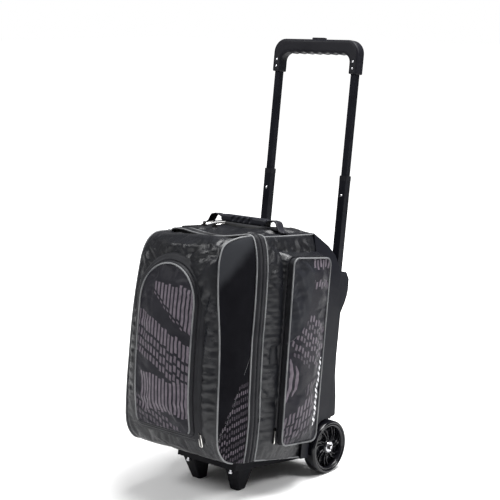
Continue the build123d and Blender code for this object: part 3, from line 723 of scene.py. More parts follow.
# Side seam on the right, middle of the front, side seam on the left, from the
# roof down to the floor of the bag.
seam_right = [(119, -311, 499), (120, -340, 497), (121, -366, 493), (122, -390, 486),
              (123, -407, 475),
              (126, -418, 452), (129, -422, 425), (133, -420, 366), (139, -411, 280),
              (141, -405, 200),
              (142, -401, 130), (142, -394, 61), (141, -383, 30), (141, -361, 8), (141, -335, 0),
              (141, -300, -3)]
front_middle = [(0, -311, 485), (0, -340, 488), (0, -372, 489), (0, -398, 484), (0, -410, 472),
                (0, -416, 450), (0, -418, 425), (0, -420, 366), (0, -420, 280), (0, -417, 200),
                (0, -411, 130), (0, -396, 61), (0, -378, 26), (0, -358, 5), (0, -335, -1),
                (0, -300, -2)]
seam_left = [(-122, -311, 485), (-122, -338, 484), (-123, -362, 480), (-125, -378, 468),
             (-128, -386, 452),
             (-131, -391, 430), (-133, -393, 405), (-136, -396, 350), (-137, -399, 280),
             (-137, -399, 200),
             (-137, -398, 130), (-136, -394, 61), (-136, -383, 28), (-136, -362, 6),
             (-136, -335, -2),
             (-136, -300, -3)]
rows = []
for left, middle, right in zip(seam_left, front_middle, seam_right):
    left, middle, right = np.array(left, float), np.array(middle, float), np.array(right, float)
    swell = middle - (left + right) / 2
    row = []
    for t in (-1, -0.93, -0.8, -0.55, -0.28, 0, 0.28, 0.55, 0.8, 0.93, 1):
        flatness = 1 - abs(t) ** 5
        row.append(left * (1 - t) / 2 + right * (1 + t) / 2 + flatness * swell)
    rows.append(row)
wrap, wrap_flat = laid(rows, 3.4)
arch_half, arch_low, arch_high = 92.0, 52.0, 436.0
arch_rise = 1.05              # height of the arch's round top, in half widths


def in_arch(x, z, inset):
    """Whether a place on the front is inside the arched pocket's outline."""
    half, high, low = arch_half - inset, arch_high - inset, arch_low + inset
    spring = high - half * arch_rise
    dome = (x / half) ** 2 + (np.maximum(z - spring, 0) / (high - spring)) ** 2 < 1
    return dome & (z > low) & (np.abs(x) < half)


opening = in_arch(wrap[..., 0], wrap[..., 2], 16) & (wrap[..., 1] < -370)
under_pocket = in_arch(wrap[..., 0], wrap[..., 2], 2) & (wrap[..., 1] < -370)
keep = ~(opening[:-1, :-1] & opening[1:, 1:] & opening[1:, :-1] & opening[:-1, 1:])
wrap = settled(wrap, grid_faces(*wrap.shape[:2]), edge_of(wrap, 2) | under_pocket, 0.018)
normals = outward(wrap)
for start, end, height, width in (
    ((120, -420, 452), (70, -422, 380), 5.0, 7), ((122, -420, 430), (84, -424, 345), 4.0, 6),
    ((118, -412, 472), (40, -420, 436), 4.5, 8), ((96, -408, 480), (30, -416, 448), -3.5, 8),
    ((128, -420, 400), (98, -422, 300), 3.5, 6), ((112, -424, 392), (96, -424, 250), -3.0, 6),
    ((131, -420, 370), (118, -418, 240), 3.0, 5), ((120, -420, 330), (104, -420, 200), 2.5, 5),
    ((-124, -400, 452), (-96, -418, 400), 4.5, 8), ((-118, -404, 468), (-70, -418, 434), 4.0, 7),
    ((-112, -410, 430), (-104, -416, 300), 3.5, 6), ((-124, -404, 420), (-121, -408, 250), -3.0, 6),
    ((-60, -410, 470), (-92, -418, 424), -3.0, 6), ((-10, -412, 474), (-50, -418, 446), 3.0, 7),
    ((10, -412, 472), (30, -418, 440), 2.5, 6), ((60, -396, 486), (20, -414, 460), 3.0, 8),
    ((-30, -345, 490), (70, -352, 490), -3.0, 12), ((-90, -360, 486), (-20, -380, 488), 2.5, 9),
):
    wrap = fold(wrap, normals, start, end, height, width)
for k in range(14):
    z = 90 + 21 * k
    wrap = fold(wrap, normals, (98 + 3 * math.sin(k), -420, z),
                (138, -404, z + 9 + 5 * math.sin(2.3 * k)),
                2.6 + 0.9 * math.sin(1.7 * k), 6)
    wrap = fold(wrap, normals, (-100 - 2 * math.sin(k), -416, z + 6), (-132, -402, z + 13), 1.4, 5)
front_wrap = sheet_piece("front_wrap", wrap, wrap_flat, [satin, lining], keep=keep)
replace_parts(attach(front_wrap, "front_shell"), "front_wall", "front_top", "front_bottom")

# ---- Matte side panels of the front shell ------------------------------------
# Stiff flat black cloth closes each side of the front shell.  Its upper front
# corner is painted lighter grey, a painted highlight where light from above falls,
# and a stitched seam runs across it low down.
side_partner_z = (499, 494, 484, 470, 450, 425, 396, 345, 270, 195, 128, 60, 30, 10, 3, -3)
# Line that bounds the painted highlight: lighter grey colour standing in for light from above.
painted_highlight_corner = ((-311.0, 478.0), (-420.0, 380.0))
seam_slope = 2.17


def side_x(z):
    """Half width of the bag at a height, at the zip."""
    right = band_section[:150]
    order = np.argsort(right[:, 1])
    return np.interp(z, right[order, 1], right[order, 0])


bands, given, result, link = new_group(
    "print band",
    [("X", "NodeSocketFloat", 0.0), ("Z", "NodeSocketFloat", 0.0),
     ("Low", "NodeSocketFloat", 0.0), ("Low Slope", "NodeSocketFloat", 0.0),
     ("High", "NodeSocketFloat", 1.0), ("High Slope", "NodeSocketFloat", 0.0),
     ("From", "NodeSocketFloat", -1.0), ("To", "NodeSocketFloat", 1.0)],
    [("Mask", "NodeSocketFloat")])


def sum_of(tree_node, tree_link, kind, first, second, third=None):
    """A maths node fed by sockets or numbers; its output."""
    made = tree_node("ShaderNodeMath")
    made.operation = kind
    for i, value in enumerate((first, second, third)):
        if value is None:
            continue
        if isinstance(value, (int, float)):
            made.inputs[i].default_value = value
        else:
            tree_link(value, made.inputs[i])
    return made.outputs[0]


make = bands.nodes.new
above = sum_of(make, link, "MULTIPLY_ADD", given["X"], given["Low Slope"], given["Z"])
above = sum_of(make, link, "GREATER_THAN", above, given["Low"])
below = sum_of(make, link, "MULTIPLY_ADD", given["X"], given["High Slope"], given["Z"])
below = sum_of(make, link, "LESS_THAN", below, given["High"])
after = sum_of(make, link, "GREATER_THAN", given["X"], given["From"])
before = sum_of(make, link, "LESS_THAN", given["X"], given["To"])
tall = sum_of(make, link, "MULTIPLY", above, below)
broad = sum_of(make, link, "MULTIPLY", after, before)
link(sum_of(make, link, "MULTIPLY", tall, broad), result["Mask"])


def print_paint(rows, pitch, share, slant=0.0, more=None, plain=None):
    """A print of bars: rows are (low, low slope, high, high slope, from, to, strength) in millimetres."""
    def paint(node, link, flat, colour):
        parts = node("ShaderNodeSeparateXYZ")
        link(flat, parts.inputs[0])
        x = sum_of(node, link, "MULTIPLY", parts.outputs["X"], 1000.0)
        z = sum_of(node, link, "MULTIPLY", parts.outputs["Y"], 1000.0)
        leaned = sum_of(node, link, "MULTIPLY_ADD", z, -slant, x)
        column = sum_of(node, link, "DIVIDE", leaned, pitch)
        across = sum_of(node, link, "FRACT", column, 0.0)
        number = sum_of(node, link, "FLOOR", column, 0.0)
        chance = node("ShaderNodeTexWhiteNoise")
        chance.noise_dimensions = "1D"
        link(number, chance.inputs["W"])
        ragged = sum_of(node, link, "MULTIPLY_ADD", chance.outputs["Value"], 7.0, z)
        bars = sum_of(node, link, "LESS_THAN", across, share)
        total = None
        for low, low_slope, high, high_slope, start, end, strength in rows:
            band = node("ShaderNodeGroup")
            band.node_tree = bands
            link(x, band.inputs["X"])
            link(ragged, band.inputs["Z"])
            for label, value in (("Low", low), ("Low Slope", low_slope), ("High", high),
                                 ("High Slope", high_slope), ("From", start), ("To", end)):
                band.inputs[label].default_value = value
            strong = sum_of(node, link, "MULTIPLY", band.outputs["Mask"], float(strength))
            total = strong if total is None else sum_of(node, link, "MAXIMUM", total, strong)
        total = sum_of(node, link, "MULTIPLY", total, bars)
        if more:
            total = more(node, link, x, z, total)
        worn = node("ShaderNodeTexNoise")
        worn.inputs["Scale"].default_value = 60
        link(flat, worn.inputs["Vector"])
        fade = node("ShaderNodeMapRange")
        fade.inputs["From Min"].default_value, fade.inputs["From Max"].default_value = 0.25, 0.6
        fade.inputs["To Min"].default_value = 0.55
        link(worn.outputs["Fac"], fade.inputs["Value"])
        total = sum_of(node, link, "MULTIPLY", total, fade.outputs["Result"])
        mix = node("ShaderNodeMix")
        mix.data_type = "RGBA"
        link(total, mix.inputs[0])
        link(colour, mix.inputs[6])
        mix.inputs[7].default_value = (0.118, 0.100, 0.120, 1)
        return plain(node, link, flat, x, z, mix.outputs[2]) if plain else mix.outputs[2]
    return paint


def painted_highlight_paint(node, link, flat, x, z, colour):
    """A painted highlight: light grey in the panel's upper front corner, fading into black."""
    (y0, z0), (y1, z1) = painted_highlight_corner
    slope = (z0 - z1) / (y0 - y1)
    wander = node("ShaderNodeTexNoise")
    wander.inputs["Scale"].default_value = 30
    link(flat, wander.inputs["Vector"])
    above = sum_of(node, link, "MULTIPLY_ADD", x, -slope, z)
    above = sum_of(node, link, "MULTIPLY_ADD", wander.outputs["Fac"], 18.0, above)
    grey = node("ShaderNodeMapRange")
    grey.interpolation_type = "SMOOTHSTEP"
    grey.inputs["From Min"].default_value = z0 - slope * y0
    grey.inputs["From Max"].default_value = z0 - slope * y0 + 40
    link(above, grey.inputs["Value"])
    mix = node("ShaderNodeMix")
    mix.data_type = "RGBA"
    # Colour of the painted highlight in the corner.
    mix.inputs[7].default_value = (0.020, 0.021, 0.024, 1)
    link(grey.outputs["Result"], mix.inputs[0])
    link(colour, mix.inputs[6])
    return mix.outputs[2]


def below_seam(node, link, x, z, total):
    """The print shows only below the seam that crosses the panel."""
    leaned = sum_of(node, link, "MULTIPLY_ADD", x, -seam_slope, z)
    under = sum_of(node, link, "LESS_THAN", leaned, 250.0 + 306.0 * seam_slope - 4.0)
    return sum_of(node, link, "MULTIPLY", total, under)


# The matte cloth's paint adds the print below the seam and a painted highlight in its upper front corner.
matte = woven_finish("matte black cloth", (0.0015, 0.0015, 0.0025), (0.003, 0.003, 0.0045), 0.92,
                     0.0,
                     900.0, 0.00012, paint=print_paint(
                         [(14 + 16 * k, -0.3, 23 + 16 * k, -0.3, -400, -290, 0.35 + 0.3 * (k % 2))
                          for k in range(1, 17)], 7.2, 0.56, -0.1, below_seam, painted_highlight_paint))
matte.node_tree.nodes["Principled BSDF"].inputs["Specular IOR Level"].default_value = 0.07
for name, side, seam in (("left", -1, seam_left), ("right", 1, seam_right)):
    rows = []
    for (x, y, z), far_z in zip(seam, side_partner_z):
        far_z = min(far_z, 487) if side < 0 else far_z
        far = np.array((side * side_x(far_z), zip_y - 18 + band_shift(far_z), far_z))
        near = np.array((x, y, z), float)
        near[1] = min(near[1], far[1] - 2)
        rows.append([near + (far - near) * t + (side * 3.5 * math.sin(math.pi * t), 0, 0)
                     for t in (0, 0.08, 0.25, 0.5, 0.75, 0.92, 1)])
    panel, _ = laid(rows, 4.2)
    flat = np.stack([panel[..., 1], panel[..., 2]], 2) / 1000
    normals = outward(panel)
    panel = fold(panel, normals, (side * 143, -400, 250), (side * 143, -330, 120), -1.5, 16)
    panel = fold(panel, normals, (side * 143, -390, 120), (side * 143, -310, 200), 1.2, 12)
    piece = sheet_piece("front_panel_" + name, panel, flat, [matte, lining])
    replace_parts(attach(piece, "front_shell"), "front_side_" + name)

# ---- Rear shell --------------------------------------------------------------
# The ball compartment: satin nylon sides, roof and floor sewn together with
# piping and tucked into the moulded back plate.  The slack cloth folds deeply.
rim_y = -93.0
side_levels = [(141, -4), (144.5, 60), (145, 200), (145, 330), (141.5, 420), (135.5, 462),
               (129, 484),
               (122.5, 497)]
rim_levels = [(140, -16), (145, 60), (145, 200), (145, 330), (141, 420), (134, 465), (127, 492),
              (121.5, 504)]
for name, side in (("left", -1), ("right", 1)):
    rows = []
    for (x0, z0), (x1, z1) in zip(side_levels, rim_levels):
        y0 = zip_y + 17 + band_shift(z0)
        row = []
        for t in (0, 0.15, 0.4, 0.7, 1):
            row.append((side * (x0 + (x1 - x0) * t + 4 * math.sin(math.pi * t)),
                        y0 + (rim_y - y0) * t, z0 + (z1 - z0) * t))
        rows.append(row)
    cloth, flat = laid(rows, 3.6)
    cloth = settled(cloth, grid_faces(*cloth.shape[:2]), edge_of(cloth, 2), 0.024)
    normals = outward(cloth)
    x = side * 138
    for start, end, height, width in (
        ((-262, 488), (-200, 462), -6.0, 11), ((-240, 476), (-205, 492), 3.5, 6),
        ((-212, 496), (-178, 462), 4.5, 6), ((-196, 484), (-170, 458), -6.0, 7),
        ((-176, 504), (-150, 466), 4.0, 6), ((-158, 490), (-128, 460), -4.5, 8),
        ((-136, 504), (-120, 462), 4.5, 6), ((-120, 498), (-112, 462), -5.0, 5),
        ((-104, 504), (-100, 468), 3.5, 6), ((-262, 440), (-256, 300), -5.0, 6),
        ((-270, 330), (-254, 292), 3.0, 5), ((-262, 290), (-258, 130), -4.5, 6),
        ((-250, 450), (-244, 330), 3.0, 5),
    ):
        cloth = fold(cloth, normals, (x, *start), (x, *end), height, width)
    for k in range(16):
        z = 60 + 24 * k
        cloth = fold(cloth, normals, (side * 146, -274 + 4 * math.sin(2.1 * k), z + 8),
                     (side * 146, -244, z - 9 + 6 * math.sin(1.3 * k)), 2.2 + math.sin(1.9 * k),
                     4.5)
    piece = sheet_piece("rear_panel_" + name, cloth, flat, [satin, lining])
    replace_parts(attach(piece, "chassis"), "rear_side_" + name)

roof_rear = [(-121.5, 504), (-108, 508), (-70, 510), (0, 508), (70, 510), (108, 508), (121.5, 504)]
rows = []
for t in (0, 0.12, 0.3, 0.5, 0.75, 1):
    row = []
    for x, z in roof_rear:
        front_z = roof_z(np.clip(x, -118, 121)) if abs(x) < 121 else (497 if x > 0 else 487)
        y = zip_y + 17 + (rim_y - zip_y - 17) * t
        lift = 3.5 * math.sin(math.pi * t) * (1 - (x / 122) ** 2)
        row.append((x, y, front_z + (z - front_z) * t ** 0.75 + lift))
    rows.append(row)
roof, flat = laid(rows, 3.6)
roof = settled(roof, grid_faces(*roof.shape[:2]), edge_of(roof, 2), 0.022)
normals = outward(roof)
for start, end, height, width in (
    ((40, -262, 500), (116, -232, 503), 4.0, 7), ((60, -240, 502), (118, -200, 506), -4.0, 8),
    ((70, -190, 508), (112, -130, 508), 4.0, 8), ((20, -270, 494), (90, -268, 500), -3.0, 6),
    ((-100, -262, 494), (-30, -235, 502), 3.0, 8), ((-90, -150, 508), (-20, -120, 510), 3.0, 10),
    ((0, -150, 511), (70, -112, 511), -3.0, 10), ((60, -120, 510), (112, -108, 508), 3.5, 6),
):
    roof = fold(roof, normals, start, end, height, width)
piece = sheet_piece("rear_roof", roof, flat, [satin, lining])
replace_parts(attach(piece, "chassis"), "rear_top")

rows = [[(x, zip_y + 31 + (rim_y - zip_y - 31) * t,
          -4 - 12 * t - 1.5 * math.sin(math.pi * (x + 141) / 282))
         for x in (-141, -100, -50, 0, 50, 100, 141)] for t in (0, 0.33, 0.66, 1)]
under, flat = laid(rows, 5)
piece = sheet_piece("rear_floor_cloth", under, flat, [satin, lining])
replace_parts(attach(piece, "chassis"), "rear_floor")

# ---- Main zip ----------------------------------------------------------------
# A nylon coil zip runs up one side, over the roof and down the other.  Each half
# is a padded band with a raised flap over the coil, and two metal sliders meet
# near the middle of the roof.  Coil turns and stitches are placed along lines.
tape_grey = woven_finish("zip tape", (0.008, 0.0082, 0.010), (0.019, 0.0195, 0.022), 0.5, 0.04,
                         900.0, 0.00012)
coil_nylon = moulded_finish("zip coil", (0.02, 0.02, 0.024), 0.35, 600.0, 0.00001)
black_plate = moulded_finish("black plated zip metal", (0.035, 0.034, 0.034), 0.26, 700.0, 0.00001,
                             0.9)
dress(black_plate, "axle_nuts",
      *[name for name in frame["nodes"] if "_slider" in name or "_tab" in name])

row_tree = bpy.data.node_groups.new("row of pieces", "GeometryNodeTree")
for label, kind in (("Geometry", "NodeSocketGeometry"), ("Piece", "NodeSocketObject"),
                    ("Spacing", "NodeSocketFloat"), ("Finish", "NodeSocketMaterial")):
    row_tree.interface.new_socket(name=label, in_out="INPUT", socket_type=kind)
row_tree.interface.new_socket(name="Geometry", in_out="OUTPUT", socket_type="NodeSocketGeometry")
row_node, row_link = row_tree.nodes.new, row_tree.links.new
row_in, row_out = row_node("NodeGroupInput"), row_node("NodeGroupOutput")
as_curve = row_node("GeometryNodeMeshToCurve")
spots = row_node("GeometryNodeCurveToPoints")
spots.mode = "LENGTH"
facing = row_node("GeometryNodeInputNamedAttribute")
facing.data_type = "FLOAT_VECTOR"
facing.inputs["Name"].default_value = "facing"
with_run = row_node("FunctionNodeAlignRotationToVector")
with_run.axis = "X"
with_face = row_node("FunctionNodeAlignRotationToVector")
with_face.axis, with_face.pivot_axis = "Z", "X"
one_piece = row_node("GeometryNodeObjectInfo")
set_row = row_node("GeometryNodeInstanceOnPoints")
row_real = row_node("GeometryNodeRealizeInstances")
row_paint = row_node("GeometryNodeSetMaterial")
row_link(row_in.outputs["Geometry"], as_curve.inputs[0])
row_link(as_curve.outputs[0], spots.inputs["Curve"])
row_link(row_in.outputs["Spacing"], spots.inputs["Length"])
row_link(spots.outputs["Tangent"], with_run.inputs["Vector"])
row_link(with_run.outputs[0], with_face.inputs["Rotation"])
row_link(facing.outputs["Attribute"], with_face.inputs["Vector"])
row_link(row_in.outputs["Piece"], one_piece.inputs["Object"])
row_link(spots.outputs["Points"], set_row.inputs["Points"])
row_link(one_piece.outputs["Geometry"], set_row.inputs["Instance"])
row_link(with_face.outputs[0], set_row.inputs["Rotation"])
row_link(set_row.outputs[0], row_real.inputs[0])
row_link(row_real.outputs[0], row_paint.inputs["Geometry"])
row_link(row_in.outputs["Finish"], row_paint.inputs["Material"])
row_link(row_paint.outputs[0], row_out.inputs[0])


def row_of(name, lines, one, spacing, finish):
    """Copies of one piece along lines of (points, outward directions), as a plain mesh."""
    points = np.concatenate([line for line, _ in lines])
    out = np.concatenate([np.broadcast_to(way, line.shape) for line, way in lines])
    edges, start = [], 0
    for line, _ in lines:
        edges += [(start + i, start + i + 1) for i in range(len(line) - 1)]
        start += len(line)
    piece = make_mesh(name + "_line", points, [], [])
    mesh = bpy.data.meshes.new(name)
    mesh.from_pydata([v.co for v in piece.data.vertices], edges, [])
    piece.data = mesh
    way = mesh.attributes.new("facing", "FLOAT_VECTOR", "POINT")
    way.data.foreach_set("vector", (out @ np.array(stand)[:3, :3].T * 1000).ravel())
    row = piece.modifiers.new("row", "NODES")
    row.node_group = row_tree
    set_input(row, "Piece", one)
    set_input(row, "Spacing", spacing / 1000)
    set_input(row, "Finish", finish)
    return baked(piece, name, [finish])


def small_piece(name, size, waist=0.7):
    """A little rounded bar to copy along a line; it isn't shown itself."""
    long, wide, high = (s / 2 for s in size)
    points = [(x, y, z) for x,
              w in ((-long, waist), (-long * 0.6, 1), (long * 0.6, 1), (long, waist))
              for y,
              z in ((-wide * w, 0), (-wide * w * 0.6, 2 * high * w), (wide * w * 0.6, 2 * high * w),
                           (wide * w, 0))]
    faces = [(i * 4 + j, i * 4 + (j + 1) % 4, i * 4 + 4 + (j + 1) % 4, i * 4 + 4 + j)
             for i in range(3) for j in range(4)] + [(3, 2, 1, 0), (12, 13, 14, 15)]
    piece = face_out(make_mesh(name, points, faces, [], place=Matrix.Scale(0.001, 4)))
    piece.hide_render = True
    piece.hide_viewport = True
    return piece


stitch = small_piece("one_stitch", (2.6, 0.8, 0.35))
coil_turn = small_piece("one_coil_turn", (0.9, 2.9, 0.9))

band_path, _ = evenly(band_section, 3.0)
along_band = np.gradient(band_path, axis=0)
band_out = np.stack([along_band[:, 1], -along_band[:, 0]], 1)
band_out /= np.linalg.norm(band_out, axis=1, keepdims=True)
band_out *= np.sign((band_out * (band_path - np.array((0, 240)))).sum(1).mean())
shift = band_shift(band_path[:, 1])
half_band = [(18.2, -2.0), (18.0, 0.4), (15, 1.1), (12, 0.9), (10.2, 1.4), (9.2, 3.2), (7.5, 4.2),
             (5, 4.3),
             (2.8, 3.9), (1.9, 2.6), (1.5, 0.6), (0.3, 0.4), (0.25, -1.6)]


def band_line(across, high):
    """The line on the zip band this far across it and this far out."""
    x, z = (band_path + band_out * high).T
    return np.stack([x, zip_y + shift + across, z], 1)


def length_along(points):
    """How far along a line each of its points is."""
    return np.concatenate([[0], np.cumsum(np.linalg.norm(np.diff(points, axis=0), axis=1))])


band_facing = np.stack([band_out[:, 0], np.zeros(len(band_out)), band_out[:, 1]], 1)
for name, sign, body, node_name in (("front", -1, "front_shell", "main_zip_front"),
                                    ("rear", 1, "chassis", "main_zip_rear")):
    grid = np.stack([band_line(sign * a, h) for a, h in half_band], 1)
    run = length_along(band_path)
    flat = np.stack(np.meshgrid([a for a, _ in half_band], run), 2) / 1000
    band = sheet_piece("zip_band_" + name, grid, flat, [tape_grey, lining], 1.4)
    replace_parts(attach(band, body), node_name)
    coil = row_of("zip_coil_" + name, [(band_line(sign * 1.3, 0.9), band_facing)], coil_turn, 1.9,
                  coil_nylon)
    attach(coil, body)


def tube_along(points, radius, sides=8, closed=False):
    """Points and faces of a round cord laid through some points."""
    p = np.asarray(points, float)
    t = (np.roll(p, -1, 0) - np.roll(p, 1, 0)) if closed else np.gradient(p, axis=0)
    t /= np.maximum(np.linalg.norm(t, axis=1, keepdims=True), 1e-9)
    side = np.cross(t[0], (0.3, 0.2, 0.9))
    rings = []
    for here, way in zip(p, t):
        side = side - way * (side @ way)
        side /= np.linalg.norm(side)
        up = np.cross(way, side)
        angles = np.arange(sides) * 2 * math.pi / sides
        rings.append(here + radius * (np.cos(angles)[:, None] * side + np.sin(angles)[:,
                                                                                      None] * up))
    n, count = sides, len(p)
    faces = [(i * n + j, i * n + (j + 1) % n, (i + 1) % count * n + (j + 1) % n,
              (i + 1) % count * n + j)
             for i in range(count if closed else count - 1) for j in range(n)]
    if not closed:
        faces += [tuple(range(n))[::-1], tuple(range((count - 1) * n, count * n))]
    return np.concatenate(rings), faces


bright_wire = moulded_finish("bright zip wire", (0.55, 0.54, 0.52), 0.25, 900.0, 0.00001, 1.0)
for name in [name for name in frame["nodes"] if "_tab" in name]:
    tab = own_points(frame["nodes"][name])
    middle = tab.mean(0)
    _, _, ways = np.linalg.svd(tab - middle, full_matrices=False)
    flat_tab = (tab - middle) @ ways.T
    long, wide, thick = np.abs(flat_tab).max(0)
    slider = own_points(frame["nodes"][name.replace("_tab", "_slider")]).mean(0)
    hung = math.copysign(1, (middle - slider) @ ways[0])
    corner = 2.2
    turn = np.linspace(0, math.pi / 2, 5)
    loop = [(sx * (long - corner) + corner * math.cos(a + start),
             sy * (wide - corner) + corner * math.sin(a + start))
            for sx, sy,
            start in ((1, 1, 0), (-1, 1, math.pi / 2), (-1, -1, math.pi), (1, -1, 1.5 * math.pi))
            for a in turn]
    loop = middle + np.array([(max(a, 5.5 - long) * hung, b, 0) for a, b in loop]) @ ways
    wire = face_out(make_mesh(name + "_wire", *tube_along(loop, thick + 0.25, closed=True),
                              [bright_wire]))
    body = name.replace("_zip_tab", "_tab")
    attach(wire, body)

# ---- Cloth hinge -------------------------------------------------------------
# The front shell swings down on a strip of nylon sewn under the zip, from the
# floor of the ball compartment to the floor of the shell.
hinge_x = np.linspace(-138, 138, 47)
hinge_y = np.linspace(-304, -258, 17)
x, y = np.meshgrid(hinge_x, hinge_y)
strip = np.stack([x, y,
                  -5.2 - 0.8 * np.sin(math.pi * (y + 304) / 46) - 1.2 * np.sin(math.pi * (x + 138) / 276)], 2)
strip = sheet_piece("shell_hinge_raw", strip, strip[..., :2] / 1000, [satin, lining], 1.4)
strip = baked(strip, "shell_hinge")
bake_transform(strip)

# ---- Arched front pocket -----------------------------------------------------
# A domed flap of printed charcoal cloth, piped all round, zips to a gusset that is
# sewn to the front.  The print is rows of mauve bars and dashes in ragged columns.
piping_grey = woven_finish("silver piping", (0.10, 0.103, 0.108), (0.21, 0.213, 0.218), 0.34, 0.05,
                           1500.0,
                           0.00008, "Object")
front_run, _ = evenly(through([(y, z) for _, y, z in reversed(front_middle)], 300), 2.0)
front_run = front_run[(front_run[:, 1] > 20) & (front_run[:, 1] < 460) & (front_run[:, 0] < -370)]
front_up = np.gradient(front_run, axis=0)
front_out = np.stack([-front_up[:, 1], front_up[:, 0]], 1)
front_out /= np.linalg.norm(front_out, axis=1, keepdims=True)


def on_front(x, z, out):
    """A place on the bag's front, at x and at a height, this far out from the cloth."""
    x, z, out = np.broadcast_arrays(np.asarray(x, float), np.asarray(z, float),
                                    np.asarray(out, float))
    y = np.interp(z, front_run[:, 1], front_run[:, 0])
    ny = np.interp(z, front_run[:, 1], front_out[:, 0])
    nz = np.interp(z, front_run[:, 1], front_out[:, 1])
    return np.stack([x, y + ny * out, z + nz * out], -1)


def arch_line(inset, step=3.0):
    """The arched pocket's outline, from the middle of its foot round and back."""
    half, high, low = arch_half - inset, arch_high - inset, arch_low + inset
    spring = high - half * arch_rise
    turn = np.linspace(0, math.pi, 60)
    corner = 14.0
    bend = np.linspace(-math.pi / 2, 0, 8)
    line = [(0.0, low)]
    line += [(half - corner + corner * math.cos(a),
              low + corner + corner * math.sin(a)) for a in bend]
    line += [(half * math.cos(a), spring + (high - spring) * math.sin(a)) for a in turn]
    line += [(-x, z) for x, z in reversed(line[:9])]
    return evenly(line, step)[0]


def piping(name, lines, body, radius=1.8, finish=piping_grey, closed=False):
    """Corded piping sewn along seams."""
    parts = [tube_along(line, radius, closed=closed) for line in lines]
    piece = face_out(make_mesh(name, *joined(parts), [finish]))
    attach(piece, body)
    return piece


arch_print = woven_finish(
    "printed charcoal cloth", (0.007, 0.0068, 0.010), (0.015, 0.0145, 0.019), 0.5, 0.03, 1000.0,
    0.0001,
    paint=print_paint([
        (344, 0.77, 384, 0.0, -34, 90, 1), (335, 0.77, 339, 0.77, -34, 60, 0.8),
        (256, 0.42, 292, 0.42, -90, 90, 1), (236, 0.43, 250, 0.43, -90, 90, 0.9),
        (216, 0.43, 230, 0.43, -90, 90, 0.9), (197, 0.43, 210, 0.43, -90, 90, 0.85),
        (103, 0.0, 180, 0.12, -62, 90, 1), (88, 0.5, 96, 0.5, -90, 90, 0.7),
        (71, 0.5, 82, 0.5, -90, 90, 0.75), (55, 0.5, 65, 0.5, -90, 90, 0.55),
        (40, 0.5, 50, 0.5, -90, 90, 0.35),
    ], 10.2, 0.58))
flap_out = 17.0
flap_edge = 12.0
half, high, low = arch_half - flap_edge, arch_high - flap_edge, arch_low + flap_edge
spring = high - half * arch_rise
levels = np.concatenate([np.linspace(0, 14, 6) + low, np.linspace(low + 18, spring, 70),
                         spring + (high - spring) * np.sin(np.linspace(0.03, 1.565, 42))])
halves = np.where(levels > spring,
                  half * np.sqrt(np.clip(1 - ((levels - spring) / (high - spring)) ** 2, 0, 1)),
                  half)
near_foot = np.clip(14 - (levels - low), 0, 14)
halves = halves - (14 - np.sqrt(14 ** 2 - near_foot ** 2))
t = np.linspace(-1, 1, 46)
t = np.sign(t) * (1 - (1 - np.abs(t)) ** 1.15)
x = halves[:, None] * t[None, :]
z = np.repeat(levels[:, None], len(t), 1)
edge_near = np.minimum(np.minimum(halves[:, None] - np.abs(x), z - low), (high - z) * 1.2)
puff = 6.0 * (1 - np.exp(-np.maximum(edge_near, 0) / 16))
dome = on_front(x, z, flap_out + puff)
run = length_along(on_front(0, levels, 0))
flat = np.stack([x, np.repeat(low + run[:, None], len(t), 1)], 2) / 1000
dome = settled(dome, grid_faces(*dome.shape[:2]), edge_of(dome, 1), 0.014, cap=4)
normals = outward(dome)
for start, end, height, width in (
    ((-62, 372), (-40, 300), 2.5, 8), ((-36, 412), (-52, 320), -3.0, 9),
    ((-16, 420), (-20, 350), 2.0, 7),
    ((16, 420), (6, 372), -2.0, 7), ((-72, 330), (-60, 240), -2.5, 9),
    ((60, 130), (10, 84), -2.2, 8),
    ((66, 108), (30, 72), 2.0, 6), ((-66, 120), (-30, 80), -1.8, 8),
):
    dome = fold(dome, normals, on_front(start[0], start[1], 20), on_front(end[0], end[1], 20),
                height, width)
flap = sheet_piece("pocket_flap", dome, flat, [arch_print, lining], 2.2)
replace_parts(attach(flap, "front_flap"), "front_pocket_flap")


arch_stations = 330


def respaced(line, count):
    """The same flat line with this many points."""
    where = np.linspace(0, len(line) - 1, count)
    return np.stack([np.interp(where, np.arange(len(line)), line[:, i]) for i in (0, 1)], 1)


def rim_strip(name, profile, finishes, body, replaced=None, thick=1.6):
    """A strip that follows the arch: profile is (inset, out) across it."""
    lines = []
    for inset, out in profile:
        line = respaced(arch_line(inset), arch_stations)
        lines.append(on_front(line[:, 0], line[:, 1], out))
    grid = np.stack(lines, 1)
    run = length_along(grid[:, 0])
    deep = np.concatenate([[0], np.cumsum([math.dist(a, b) for a, b in zip(profile, profile[1:])])])
    flat = np.stack(np.meshgrid(deep, run), 2) / 1000
    piece = sheet_piece(name, grid, flat, finishes, thick, centre=(0, -340, 250))
    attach(piece, body)
    if replaced:
        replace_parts(piece, replaced)
    return piece


rim_strip("pocket_flap_side", [(flap_edge, flap_out), (8.5, 16), (6.5, 13.5), (5.5, 11), (5, 9.6)],
          [tape_grey, lining], "front_flap")
rim_strip("pocket_gusset",
          [(5.5, 8.6), (3.5, 9.4), (1.5, 9.6), (-0.5, 8.4), (-2, 6.4), (-5, 5.0), (-8, 4.6),
                            (-10, 3.4), (-11.5, 1.6), (-12.5, -0.6)],
          [tape_grey, lining], "front_shell", "front_pocket_gusset")
arch_cord = arch_line(flap_edge - 1)
arch_cord = arch_cord[arch_cord[:, 1] > arch_low + flap_edge + 3]
piping("pocket_flap_piping", [on_front(arch_cord[:, 0], arch_cord[:, 1], flap_out + 0.6)],
       "front_flap", 1.9)
gusset_cord = arch_line(-12)
piping("pocket_foot_binding", [on_front(gusset_cord[:-1, 0], gusset_cord[:-1, 1], 0.4)],
       "front_shell", 1.3,
       tape_grey, closed=True)
mouth_cord = arch_line(15)
piping("pocket_mouth_binding", [on_front(mouth_cord[:-1, 0], mouth_cord[:-1, 1], -0.6)],
       "front_shell", 1.8,
       tape_grey, closed=True)
zip_line = arch_line(4.8)
zip_run = on_front(zip_line[:, 0], zip_line[:, 1], 9.4)
